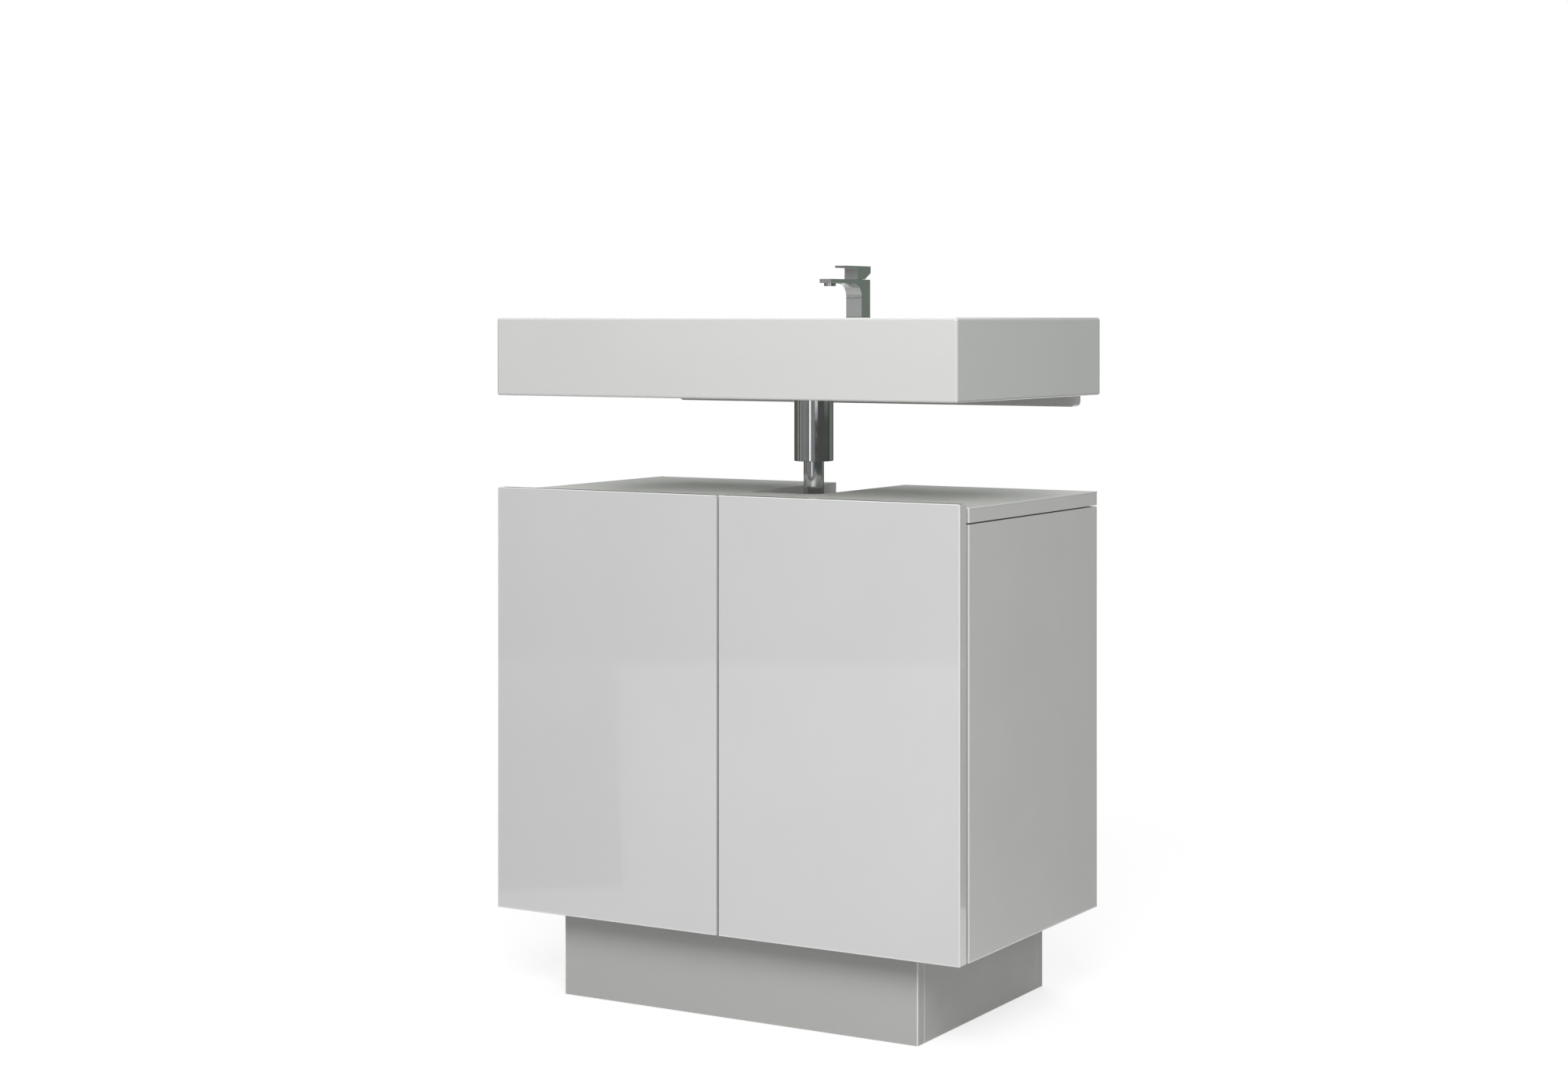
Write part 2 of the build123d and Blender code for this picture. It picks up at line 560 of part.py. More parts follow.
def hinge_arm(z):
    """Goose-neck arm: knuckle on the pin, out of the cup, then back along the side panel."""
    bottom = PIVOT_Y - KNUCKLE_RADIUS
    neck = block(ARM_INNER_X, PIVOT_X, bottom, PIVOT_Y + ARM_NECK_TOP, z - KNUCKLE_HALF, z + KNUCKLE_HALF)
    knuckle = rod_z(PIVOT_X, PIVOT_Y, z - KNUCKLE_HALF, z + KNUCKLE_HALF, KNUCKLE_RADIUS)
    shoulder = block(ARM_INNER_X, PIVOT_X - ARM_NECK_START, bottom, PIVOT_Y + ARM_NECK_TOP,
                     z - ARM_HALF_HEIGHT, z + ARM_HALF_HEIGHT)
    bar = block(ARM_INNER_X, PLATE_FACE_X, bottom, ARM_END_Y, z - ARM_HALF_HEIGHT, z + ARM_HALF_HEIGHT)
    arm = shoulder + bar
    corner = arm.edges().filter_by(Axis.Z).sort_by_distance((ARM_INNER_X, bottom, z))[0]
    arm = fillet(corner, KNUCKLE_RADIUS)
    arm = arm + neck + knuckle
    arm -= block(PLATE_FACE_X - ARM_CHANNEL, PLATE_FACE_X, PLATE_FRONT_Y + ARM_CHANNEL_LIP,
                 ARM_END_Y - ARM_SOLID_TAIL, z - ARM_HALF_HEIGHT + ARM_CHANNEL_LIP,
                 z + ARM_HALF_HEIGHT - ARM_CHANNEL_LIP)
    arm -= rod_x(ARM_INNER_X, PLATE_FACE_X, ARM_SCREW_Y, z, SCREW_HOLE)
    return arm - rod_z(PIVOT_X, PIVOT_Y, z - KNUCKLE_HALF, z + KNUCKLE_HALF, PIN_RADIUS + PIN_RUNNING_FIT)


def plate_screw_places():
    return ((PLATE_MIDDLE_Y, -PLATE_SCREW_SPREAD), (PLATE_MIDDLE_Y, PLATE_SCREW_SPREAD),
            (ARM_SCREW_Y, 0.0))


def hinge_plate(z):
    plate = block(PLATE_FACE_X, INNER_X, PLATE_FRONT_Y, PLATE_FRONT_Y + PLATE_LENGTH,
                  z - PLATE_HALF_HEIGHT, z + PLATE_HALF_HEIGHT)
    wings = block(PLATE_FACE_X, INNER_X, PLATE_MIDDLE_Y - PLATE_WING_WIDTH / 2,
                  PLATE_MIDDLE_Y + PLATE_WING_WIDTH / 2, z - PLATE_WING_HALF, z + PLATE_WING_HALF)
    wings = fillet(wings.edges().filter_by(Axis.X), PLATE_WING_WIDTH / 2 - WING_END_FLAT)
    plate = fillet(plate.edges().filter_by(Axis.X), PLATE_CORNER) + wings
    for y, dz in plate_screw_places():
        plate -= rod_x(PLATE_FACE_X, INNER_X, y, z + dz, SCREW_HOLE)
    return plate


def hinge_screws():
    screws = []
    for z in HINGE_ZS:
        for y, dz in plate_screw_places():
            face = ARM_INNER_X if dz == 0.0 else PLATE_FACE_X
            screw = rod_x(face, INNER_X + SCREW_BITE - PAST, y, z + dz, SCREW_RADIUS)
            screw += rod_x(face - SCREW_HEAD_HEIGHT, face, y, z + dz, SCREW_HEAD_RADIUS)
            screws.append(screw)
    return joined(screws)


def door_buffers():
    zs = (PLINTH_HEIGHT + BOARD / 2, TOP_UNDERSIDE_Z - BOARD / 2)
    return joined([rod_y(BUFFER_X, DOOR_BACK_Y, BUFFER_FACE_Y, z, BUFFER_RADIUS) for z in zs])


def strike_plate():
    return rod_y(LATCH_X, DOOR_BACK_Y, STRIKE_FACE_Y, LATCH_Z, STRIKE_RADIUS)


def latch_housing():
    half = LATCH_WIDTH / 2
    body = block(LATCH_X - half, LATCH_X + half, LATCH_FRONT_Y, LATCH_FRONT_Y + LATCH_LENGTH,
                 LATCH_TOP_Z - LATCH_HEIGHT, LATCH_TOP_Z)
    body = fillet(body.edges().filter_by(Axis.Y).group_by(Axis.Z)[0], LATCH_ROUND)
    bore_end = STRIKE_FACE_Y + PLUNGER_LENGTH + PLUNGER_TRAVEL + PLUNGER_END_GAP
    return body - rod_y(LATCH_X, LATCH_FRONT_Y, bore_end, LATCH_Z, PLUNGER_RADIUS + PLUNGER_FIT)


def latch_plunger():
    rod = rod_y(LATCH_X, STRIKE_FACE_Y, STRIKE_FACE_Y + PLUNGER_LENGTH, LATCH_Z, PLUNGER_RADIUS)
    return fillet(rod.edges().group_by(Axis.Y)[0], PLUNGER_ROUND)


# ---------------------------------------------------------------- basin
def bowl_space():
    """Tapered bowl with rounded corners and floor, falling to the waste."""
    middle = (BOWL_FRONT_Y + BOWL_BACK_Y) / 2
    mouth = Pos(0, middle, RIM_Z) * RectangleRounded(BASIN_WIDTH - 2 * RIM_WALL, BOWL_BACK_Y - BOWL_FRONT_Y,
                                                     BOWL_CORNER)
    space = extrude(mouth, -BOWL_DEPTH, taper=BOWL_TAPER)
    space = fillet(space.faces().sort_by(Axis.Z)[0].edges(), BOWL_FLOOR_ROUND)
    seat = Plane(origin=(0, DRAIN_Y, SEAT_Z)) * Circle(FLANGE_RADIUS + PAST)
    brim = Plane(origin=(0, (FLOOR_FRONT_Y + FLOOR_BACK_Y) / 2, BOWL_FLOOR_Z)) * Ellipse(
        FLOOR_HALF_WIDTH - DISH_END_MARGIN, (FLOOR_BACK_Y - FLOOR_FRONT_Y) / 2 - DISH_MARGIN)
    return space, loft([seat, brim])


def basin():
    """Slab basin: bowl, tap deck with a hollow below it, overflow duct, wall rib and bolt holes."""
    slab = block(-BASIN_WIDTH / 2, BASIN_WIDTH / 2, BASIN_FRONT_Y, WALL_Y, BASIN_UNDERSIDE_Z, RIM_Z)
    slab = fillet(slab.edges(), BASIN_ROUND)
    rib = block(-RIB_HALF_WIDTH, RIB_HALF_WIDTH, WALL_Y - REAR_WALL, WALL_Y,
                BASIN_UNDERSIDE_Z - RIB_DROP, BASIN_UNDERSIDE_Z + RIB_DROP)
    rib = fillet(rib.edges().filter_by(Axis.Y).group_by(Axis.Z)[0], RIB_CORNER)
    body = slab + rib
    space, dish = bowl_space()
    body -= space
    body -= dish
    cavity = block(-CAVITY_HALF_WIDTH, CAVITY_HALF_WIDTH, CAVITY_FRONT_Y, WALL_Y - REAR_WALL,
                   BASIN_UNDERSIDE_Z - PAST, DECK_UNDERSIDE_Z)
    cavity = fillet(cavity.edges().filter_by(Axis.Z), CAVITY_CORNER)
    body -= cavity
    body += block(-DUCT_HALF_WIDTH, DUCT_HALF_WIDTH, CAVITY_FRONT_Y - PAST, DUCT_BACK_Y,
                  BASIN_UNDERSIDE_Z, DECK_UNDERSIDE_Z + PAST)
    body -= block(-CHANNEL_HALF, CHANNEL_HALF, CAVITY_FRONT_Y - CHANNEL_BEHIND_BOWL,
                  DUCT_BACK_Y - DUCT_WALL + PAST, CHANNEL_BOTTOM_Z, OVERFLOW_Z + OVERFLOW_RADIUS)
    body -= block(-CHANNEL_HALF, CHANNEL_HALF, DRAIN_Y, CAVITY_FRONT_Y, CHANNEL_BOTTOM_Z, CHANNEL_TOP_Z)
    body -= rod_y(0, BOWL_BACK_Y - BOWL_FLOOR_ROUND, CAVITY_FRONT_Y, OVERFLOW_Z, OVERFLOW_RADIUS)
    body -= rod_z(0, DRAIN_Y, BASIN_UNDERSIDE_Z - PAST, SEAT_Z + PAST, DRAIN_HOLE_RADIUS)
    body -= rod_z(0, DRAIN_Y, FLANGE_UNDERSIDE_Z, SEAT_Z + PAST, FLANGE_RADIUS + FLANGE_FIT)
    body -= rod_z(0, TAP_Y, DECK_UNDERSIDE_Z - PAST, RIM_Z + PAST, TAP_HOLE_RADIUS)
    for side in (-1, 1):
        body -= rod_y(side * WALL_BOLT_SPREAD / 2, WALL_Y - REAR_WALL - PAST, WALL_Y + PAST,
                      RIM_Z - WALL_BOLT_BELOW_RIM, WALL_BOLT_HOLE_RADIUS)
    return body


def overflow_ring():
    """Chrome trim pressed into the overflow hole in the bowl's back wall."""
    front_y = BOWL_BACK_Y - OVERFLOW_BELOW_RIM * SLOPE - RING_PROUD
    back_y = front_y + RING_LENGTH
    ring = rod_y(0, front_y, back_y, OVERFLOW_Z, OVERFLOW_RADIUS - SLIP_FIT)
    return ring - rod_y(0, front_y - PAST, back_y + PAST, OVERFLOW_Z, OVERFLOW_RADIUS - RING_WALL)


# ---------------------------------------------------------------- waste
def waste_flange():
    """Flanged waste tube with overflow slots and a three-arm guide for the plug stem."""
    inner = WASTE_TUBE_RADIUS - WASTE_TUBE_WALL
    body = rod_z(0, DRAIN_Y, FLANGE_UNDERSIDE_Z, SEAT_Z, FLANGE_RADIUS)
    body += rod_z(0, DRAIN_Y, WASTE_TUBE_END_Z, FLANGE_UNDERSIDE_Z + PAST, WASTE_TUBE_RADIUS)
    body -= rod_z(0, DRAIN_Y, WASTE_TUBE_END_Z - PAST, SEAT_Z + PAST, inner)
    low = SEAT_Z - GUIDE_BELOW_SEAT
    for angle in (0, 120, 240):
        spoke = block(GUIDE_HUB_RADIUS - PAST, inner + SPOKE_BITE, -GUIDE_SPOKE / 2, GUIDE_SPOKE / 2,
                      low, low + GUIDE_HEIGHT)
        body += Pos(0, DRAIN_Y, 0) * Rot(0, 0, angle - 90) * spoke
    body += rod_z(0, DRAIN_Y, low, low + GUIDE_HEIGHT, GUIDE_HUB_RADIUS)
    body -= rod_z(0, DRAIN_Y, low - PAST, low + GUIDE_HEIGHT + PAST, PLUG_STEM_RADIUS + PLUG_STEM_FIT)
    return body - block(-WASTE_SLOT_HALF_WIDTH, WASTE_SLOT_HALF_WIDTH, DRAIN_Y + inner - WASTE_SLOT_INSIDE,
                        DRAIN_Y + WASTE_TUBE_RADIUS + PAST, CHANNEL_BOTTOM_Z, CHANNEL_TOP_Z)


def waste_sleeve():
    """Polished sleeve that hides the waste body under the basin."""
    body = rod_z(0, DRAIN_Y, SLEEVE_BOTTOM_Z, BASIN_UNDERSIDE_Z, SLEEVE_RADIUS)
    body = fillet(body.edges().group_by(Axis.Z)[0], SLEEVE_ROUND)
    body -= rod_z(0, DRAIN_Y, SLEEVE_INNER_FLOOR_Z, BASIN_UNDERSIDE_Z + PAST, SLEEVE_RADIUS - SLEEVE_WALL)
    return body - rod_z(0, DRAIN_Y, SLEEVE_BOTTOM_Z - PAST, SLEEVE_INNER_FLOOR_Z + PAST,
                        TAILPIECE_RADIUS + SLIP_FIT)


def tailpiece():
    body = rod_z(0, DRAIN_Y, TAILPIECE_END_Z, WASTE_TUBE_END_Z, TAILPIECE_RADIUS)
    body += rod_z(0, DRAIN_Y, SLEEVE_INNER_FLOOR_Z, WASTE_TUBE_END_Z, WASTE_TUBE_RADIUS)
    return body - rod_z(0, DRAIN_Y, TAILPIECE_END_Z - PAST, WASTE_TUBE_END_Z + PAST,
                        TAILPIECE_RADIUS - TAILPIECE_WALL)


def waste_plug():
    low = SEAT_Z + PLUG_SEAL_HEIGHT
    head = rod_z(0, DRAIN_Y, low, low + PLUG_THICKNESS, PLUG_RADIUS)
    head = fillet(head.edges().group_by(Axis.Z)[-1], PLUG_ROUND)
    return head + rod_z(0, DRAIN_Y, low - PLUG_STEM_LENGTH, low + PAST, PLUG_STEM_RADIUS)


def plug_seal():
    return tube_z(0, DRAIN_Y, SEAT_Z, SEAT_Z + PLUG_SEAL_HEIGHT, PLUG_SEAL_OUTER, PLUG_SEAL_INNER)


# ---------------------------------------------------------------- trap and outlet
def trap_bottle():
    """Bottle body with a threaded neck on top and a socket for the outlet pipe at the back."""
    neck_base = BOTTLE_TOP_Z + BOTTLE_SHOULDER
    outer = rod_z(0, DRAIN_Y, BOTTLE_BOTTOM_Z, BOTTLE_TOP_Z, BOTTLE_RADIUS)
    outer += Pos(0, DRAIN_Y, BOTTLE_TOP_Z + BOTTLE_SHOULDER / 2) * Cone(BOTTLE_RADIUS, BOTTLE_NECK_RADIUS,
                                                                    BOTTLE_SHOULDER)
    outer += rod_z(0, DRAIN_Y, neck_base, neck_base + BOTTLE_NECK_HEIGHT, BOTTLE_NECK_RADIUS)
    outer += rod_y(0, DRAIN_Y, PORT_END_Y, OUTLET_Z, OUTLET_PORT_RADIUS)
    inner = rod_z(0, DRAIN_Y, BOTTLE_BOTTOM_Z - PAST, BOTTLE_TOP_Z - PAST, BOTTLE_RADIUS - BOTTLE_WALL)
    bore = rod_z(0, DRAIN_Y, BOTTLE_TOP_Z - NECK_BORE_LAP, neck_base + BOTTLE_NECK_HEIGHT + PAST,
                 TAILPIECE_RADIUS + SLIP_FIT)
    port = rod_y(0, DRAIN_Y, PORT_END_Y + PAST, OUTLET_Z, OUTLET_RADIUS + SLIP_FIT)
    return outer - inner - bore - port


def trap_cup():
    """Removable cup that closes the bottom of the bottle."""
    top = BOTTLE_BOTTOM_Z + CUP_TOP_LAP
    profile = rod_z(0, DRAIN_Y, TRAP_CUP_BOTTOM_Z, top, TRAP_CUP_RADIUS)
    profile = fillet(profile.edges().group_by(Axis.Z)[0], TRAP_CUP_ROUND)
    profile -= rod_z(0, DRAIN_Y, BOTTLE_BOTTOM_Z, top + PAST, BOTTLE_RADIUS + SLIP_FIT)
    return profile - rod_z(0, DRAIN_Y, TRAP_CUP_BOTTOM_Z + BOTTLE_WALL, BOTTLE_BOTTOM_Z + PAST,
                           BOTTLE_RADIUS - BOTTLE_WALL)


def trap_nut():
    low = BOTTLE_TOP_Z + BOTTLE_SHOULDER
    high = low + TRAP_NUT_HEIGHT + NUT_END_WALL
    nut = Pos(0, DRAIN_Y, low) * extrude(RegularPolygon(TRAP_NUT_RADIUS, NUT_FACETS), high - low)
    nut -= rod_z(0, DRAIN_Y, low - PAST, low + BOTTLE_NECK_HEIGHT, BOTTLE_NECK_RADIUS + SLIP_FIT)
    return nut - rod_z(0, DRAIN_Y, low, high + PAST, TAILPIECE_RADIUS + SLIP_FIT)


def outlet_nut():
    end = PORT_END_Y + NUT_END_WALL
    start = end - OUTLET_NUT_LENGTH
    nut = hexagon_y(0, start, end, OUTLET_Z, OUTLET_NUT_RADIUS, NUT_FACETS)
    nut -= rod_y(0, start - PAST, PORT_END_Y, OUTLET_Z, OUTLET_PORT_RADIUS + SLIP_FIT)
    return nut - rod_y(0, PORT_END_Y - PAST, end + PAST, OUTLET_Z, OUTLET_RADIUS + SLIP_FIT)


def outlet_pipe():
    start = DRAIN_Y + OUTLET_START
    pipe = rod_y(0, start, WALL_Y, OUTLET_Z, OUTLET_RADIUS)
    return pipe - rod_y(0, start - PAST, WALL_Y + PAST, OUTLET_Z, OUTLET_RADIUS - OUTLET_WALL)


def pipe_collar():
    """Rubber grommet that carries the outlet pipe in the back board."""
    wall = OUTLET_RADIUS + COLLAR_WALL
    collar = rod_y(0, BACK_FRONT_Y, BACK_REAR_Y, OUTLET_Z, wall)
    collar += rod_y(0, BACK_FRONT_Y - COLLAR_LIP, BACK_FRONT_Y, OUTLET_Z, wall + COLLAR_FLANGE)
    collar += rod_y(0, BACK_REAR_Y, BACK_REAR_Y + COLLAR_LIP, OUTLET_Z, wall + COLLAR_FLANGE)
    return collar - rod_y(0, BACK_FRONT_Y - COLLAR_LIP - PAST, BACK_REAR_Y + COLLAR_LIP + PAST, OUTLET_Z,
                          OUTLET_RADIUS + SLIP_FIT)


def wall_rosette():
    plate = rod_y(0, WALL_Y - ROSETTE_THICKNESS, WALL_Y, OUTLET_Z, ROSETTE_RADIUS)
    plate = fillet(plate.edges().group_by(Axis.Y)[0], ROSETTE_ROUND)
    return plate - rod_y(0, WALL_Y - ROSETTE_THICKNESS - PAST, WALL_Y + PAST, OUTLET_Z,
                         OUTLET_RADIUS + SLIP_FIT)


# ---------------------------------------------------------------- tap
def inlet_places():
    return [(side * INLET_SPREAD, TAP_Y + INLET_OFFSET) for side in (-1, 1)]


def tap_gasket():
    pad = block(-TAP_HALF, TAP_HALF, TAP_Y - TAP_HALF, TAP_Y + TAP_HALF, RIM_Z, TAP_BASE_Z)
    return pad - rod_z(0, TAP_Y, RIM_Z - PAST, TAP_BASE_Z + PAST, TAP_HOLE_RADIUS)


def tapered_plan(half_wide, half_tip, y_wide, y_tip, y_rear, low, high):
    """A block with parallel sides from the rear to y_wide that narrows towards y_tip."""
    outline = Polyline((-half_wide, y_rear), (half_wide, y_rear), (half_wide, y_wide), (half_tip, y_tip),
                       (-half_tip, y_tip), (-half_wide, y_wide), (-half_wide, y_rear))
    return Pos(0, 0, low) * extrude(make_face(outline), high - low)


def side_profile(lines, half):
    """Extrudes a closed outline drawn in Y and Z across the middle plane."""
    face = Plane.YZ.offset(-half) * make_face(lines)
    return extrude(face, 2 * half)


def tap_body():
    """Square column with a flat narrowing spout; the spout's underside sweeps down into the column."""
    low = SPOUT_UNDERSIDE_Z
    foot = low - SPOUT_BLEND_DROP
    start = TAP_FRONT_Y - SPOUT_BLEND_LENGTH
    outline = Polyline((TAP_FRONT_Y, foot), (TAP_FRONT_Y, TAP_BASE_Z), (TAP_REAR_Y, TAP_BASE_Z),
                       (TAP_REAR_Y, TAP_TOP_Z), (SPOUT_TIP_Y, TAP_TOP_Z), (SPOUT_TIP_Y, low), (start, low))
    sweep_line = Bezier((start, low), (TAP_FRONT_Y, low), (TAP_FRONT_Y, foot))
    shape = side_profile(Curve() + [outline, sweep_line], TAP_HALF)
    shape &= tapered_plan(TAP_HALF, SPOUT_TIP_HALF, TAP_FRONT_Y, SPOUT_TIP_Y, TAP_REAR_Y, TAP_BASE_Z,
                          TAP_TOP_Z)
    shape = fillet(shape.edges().filter_by(Axis.Z), TAP_EDGE)
    shape -= rod_z(0, AERATOR_Y, low - PAST, low + AERATOR_SOCKET_DEPTH, AERATOR_SOCKET + SLIP_FIT)
    shape -= rod_z(0, TAP_Y, TAP_TOP_Z - CARTRIDGE_DEPTH, TAP_TOP_Z + PAST, CARTRIDGE_RADIUS + SLIP_FIT)
    shape -= rod_z(0, TAP_Y, TAP_TOP_Z - SPINDLE_DEPTH - PAST, TAP_TOP_Z, SPINDLE_RADIUS + PAST)
    shape -= rod_z(0, TAP_Y + STUD_OFFSET, TAP_BASE_Z - PAST, TAP_BASE_Z + TAP_SOCKET_DEPTH,
                   STUD_RADIUS + SLIP_FIT)
    for x, y in inlet_places():
        shape -= rod_z(x, y, TAP_BASE_Z - PAST, TAP_BASE_Z + TAP_SOCKET_DEPTH, INLET_RADIUS + SLIP_FIT)
    return shape


def tap_aerator():
    body = rod_z(0, AERATOR_Y, SPOUT_UNDERSIDE_Z - AERATOR_DROP, SPOUT_UNDERSIDE_Z, AERATOR_RADIUS)
    body += rod_z(0, AERATOR_Y, SPOUT_UNDERSIDE_Z - PAST, SPOUT_UNDERSIDE_Z + AERATOR_SOCKET_DEPTH,
                  AERATOR_SOCKET)
    return body - rod_z(0, AERATOR_Y, SPOUT_UNDERSIDE_Z - AERATOR_DROP - PAST, SPOUT_UNDERSIDE_Z - PAST,
                        AERATOR_BORE)


def tap_cartridge():
    return tube_z(0, TAP_Y, TAP_TOP_Z - CARTRIDGE_DEPTH, TAP_TOP_Z, CARTRIDGE_RADIUS,
                  SPINDLE_RADIUS + SLIP_FIT)


def tap_spindle():
    """Turning spindle: shaft in the cartridge and a drum inside the lever."""
    body = rod_z(0, TAP_Y, TAP_TOP_Z - SPINDLE_DEPTH, LEVER_BASE_Z + PAST, SPINDLE_RADIUS)
    body += rod_z(0, TAP_Y, LEVER_BASE_Z, LEVER_PIVOT_Z + SWIVEL_TOP_OVER_PIVOT, SWIVEL_RADIUS)
    return body - rod_x(-SWIVEL_RADIUS - PAST, SWIVEL_RADIUS + PAST, TAP_Y, LEVER_PIVOT_Z,
                        CROSS_PIN_RADIUS + PIN_PRESS_FIT)


def tap_cross_pin():
    half = LEVER_HALF - CROSS_PIN_WALL - CROSS_PIN_END_GAP
    return rod_x(-half, half, TAP_Y, LEVER_PIVOT_Z, CROSS_PIN_RADIUS)


def tap_lever():
    """Hollow cap with a thin narrowing blade; its rear lower corner is cut back for the lift."""
    cap = block(-LEVER_HALF, LEVER_HALF, LEVER_FRONT_Y, LEVER_REAR_Y, LEVER_BASE_Z, LEVER_TOP_Z)
    body = cap + tapered_plan(LEVER_HALF, LEVER_TIP_HALF, LEVER_FRONT_Y, LEVER_FRONT_Y - LEVER_BLADE_REACH,
                              LEVER_REAR_Y, LEVER_TOP_Z - LEVER_BLADE, LEVER_TOP_Z)
    upright = body.edges().filter_by(Axis.Z).sort_by(Axis.Y)
    body = fillet(upright[:2] + upright[-2:], TAP_EDGE)
    body -= rod_z(0, TAP_Y, LEVER_BASE_Z - PAST, LEVER_TOP_Z - LEVER_ROOF, LEVER_BORE)
    body -= rod_x(-LEVER_HALF + CROSS_PIN_WALL, LEVER_HALF - CROSS_PIN_WALL, TAP_Y, LEVER_PIVOT_Z,
                  CROSS_PIN_RADIUS + PIN_RUNNING_FIT)
    past = LEVER_REAR_Y + LEVER_REAR_OVERHANG
    notch = Polyline((TAP_Y, LEVER_BASE_Z), (past, LEVER_BASE_Z + 2 * LEVER_NOTCH),
                     (past, LEVER_BASE_Z - PAST), (TAP_Y, LEVER_BASE_Z - PAST), (TAP_Y, LEVER_BASE_Z))
    return body - side_profile(notch, LEVER_HALF + PAST)


def tap_stud():
    return rod_z(0, TAP_Y + STUD_OFFSET, STUD_END_Z, TAP_BASE_Z + TAP_SOCKET_DEPTH, STUD_RADIUS)


def tap_inlets():
    tubes = []
    for x, y in inlet_places():
        tube = rod_z(x, y, INLET_END_Z, TAP_BASE_Z + TAP_SOCKET_DEPTH, INLET_RADIUS)
        tubes.append(tube - rod_z(x, y, INLET_END_Z - PAST, TAP_BASE_Z, INLET_BORE))
    return joined(tubes)


def tap_washer():
    low = DECK_UNDERSIDE_Z - TAP_WASHER_THICKNESS
    washer = rod_z(0, TAP_Y, low, DECK_UNDERSIDE_Z, TAP_WASHER_RADIUS)
    washer -= rod_z(0, TAP_Y + STUD_OFFSET, low - PAST, DECK_UNDERSIDE_Z + PAST, STUD_RADIUS + SLIP_FIT)
    for x, y in inlet_places():
        washer -= rod_z(x, y, low - PAST, DECK_UNDERSIDE_Z + PAST, INLET_RADIUS + SLIP_FIT)
    return washer


def tap_nut():
    high = DECK_UNDERSIDE_Z - TAP_WASHER_THICKNESS
    nut = hexagon_z(0, TAP_Y + STUD_OFFSET, high - TAP_NUT_HEIGHT, high, TAP_NUT_RADIUS)
    return nut - rod_z(0, TAP_Y + STUD_OFFSET, high - TAP_NUT_HEIGHT - PAST, high + PAST,
                       STUD_RADIUS + SLIP_FIT)


def build():
    os.makedirs("parts", exist_ok=True)
    paired = {
        "side_panel": side_panel(),
        "plinth_side": plinth_side(),
        "door": door(),
        "hinge_cups": hinge_cups(),
        "hinge_pins": hinge_pins(),
        "cup_screws": cup_screws(),
        "hinge_arms": joined([hinge_arm(z) for z in HINGE_ZS]),
        "hinge_plates": joined([hinge_plate(z) for z in HINGE_ZS]),
        "hinge_screws": hinge_screws(),
        "door_buffers": door_buffers(),
        "strike_plate": strike_plate(),
        "latch_housing": latch_housing(),
        "latch_plunger": latch_plunger(),
    }
    for name, shape in paired.items():
        save(name + "_right", shape)
        save(name + "_left", mirrored(shape))
    single = {
        "bottom_panel": bottom_panel(),
        "top_panel": top_panel(),
        "back_panel": back_panel(),
        "front_rail": front_rail(),
        "shelf": shelf(),
        "shelf_pegs": shelf_pegs(),
        "plinth_front": plinth_front(),
        "plinth_back": plinth_back(),
        "plinth_brackets": plinth_brackets(),
        "basin": basin(),
        "overflow_ring": overflow_ring(),
        "waste_flange": waste_flange(),
        "waste_sleeve": waste_sleeve(),
        "waste_plug": waste_plug(),
        "plug_seal": plug_seal(),
        "tailpiece": tailpiece(),
        "trap_nut": trap_nut(),
        "trap_bottle": trap_bottle(),
        "trap_cup": trap_cup(),
        "outlet_nut": outlet_nut(),
        "outlet_pipe": outlet_pipe(),
        "pipe_collar": pipe_collar(),
        "wall_rosette": wall_rosette(),
        "tap_gasket": tap_gasket(),
        "tap_body": tap_body(),
        "tap_aerator": tap_aerator(),
        "tap_cartridge": tap_cartridge(),
        "tap_spindle": tap_spindle(),
        "tap_cross_pin": tap_cross_pin(),
        "tap_lever": tap_lever(),
        "tap_stud": tap_stud(),
        "tap_inlets": tap_inlets(),
        "tap_washer": tap_washer(),
        "tap_nut": tap_nut(),
    }
    for name, shape in single.items():
        save(name, shape)


build()
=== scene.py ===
import json
import math

import bmesh
import bpy
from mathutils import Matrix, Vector


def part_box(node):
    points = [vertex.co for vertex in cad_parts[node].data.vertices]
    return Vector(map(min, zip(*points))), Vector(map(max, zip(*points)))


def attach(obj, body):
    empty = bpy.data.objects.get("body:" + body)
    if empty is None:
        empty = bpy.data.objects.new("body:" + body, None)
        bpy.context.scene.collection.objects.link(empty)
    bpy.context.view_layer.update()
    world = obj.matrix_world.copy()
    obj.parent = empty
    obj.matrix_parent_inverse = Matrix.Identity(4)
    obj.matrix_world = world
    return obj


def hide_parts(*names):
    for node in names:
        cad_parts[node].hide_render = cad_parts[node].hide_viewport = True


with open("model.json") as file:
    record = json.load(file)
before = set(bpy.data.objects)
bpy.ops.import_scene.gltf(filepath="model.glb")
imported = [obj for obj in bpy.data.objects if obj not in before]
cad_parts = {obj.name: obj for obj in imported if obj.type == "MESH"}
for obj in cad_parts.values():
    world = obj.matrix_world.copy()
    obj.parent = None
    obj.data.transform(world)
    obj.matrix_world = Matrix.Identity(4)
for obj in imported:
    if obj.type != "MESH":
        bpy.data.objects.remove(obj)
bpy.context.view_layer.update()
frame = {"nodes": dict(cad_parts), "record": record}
NODES = frame["nodes"]
BODY_OF = {node: body for body, nodes in frame["record"]["behaviour"]["bodies"].items()
           for node in nodes}
SLOT_OF = {part["node"]: part["material_slot"] for part in frame["record"]["subparts"]}

# Lengths are in metres unless a name says otherwise.

# ------------------------------------------------------------------ camera
# The camera is level and its lens is slid down, so upright edges stay upright.
CAMERA_PLACE = (1.62157, -2.79912, 0.7851)
CAMERA_YAW_DEG = 30.4
LENS_MM = 63.80
SENSOR_MM = 36.0
SHIFT_Y = -0.14465
CLIP_START = 0.05
CLIP_END = 200.0


def link(obj):
    bpy.context.scene.collection.objects.link(obj)
    return obj


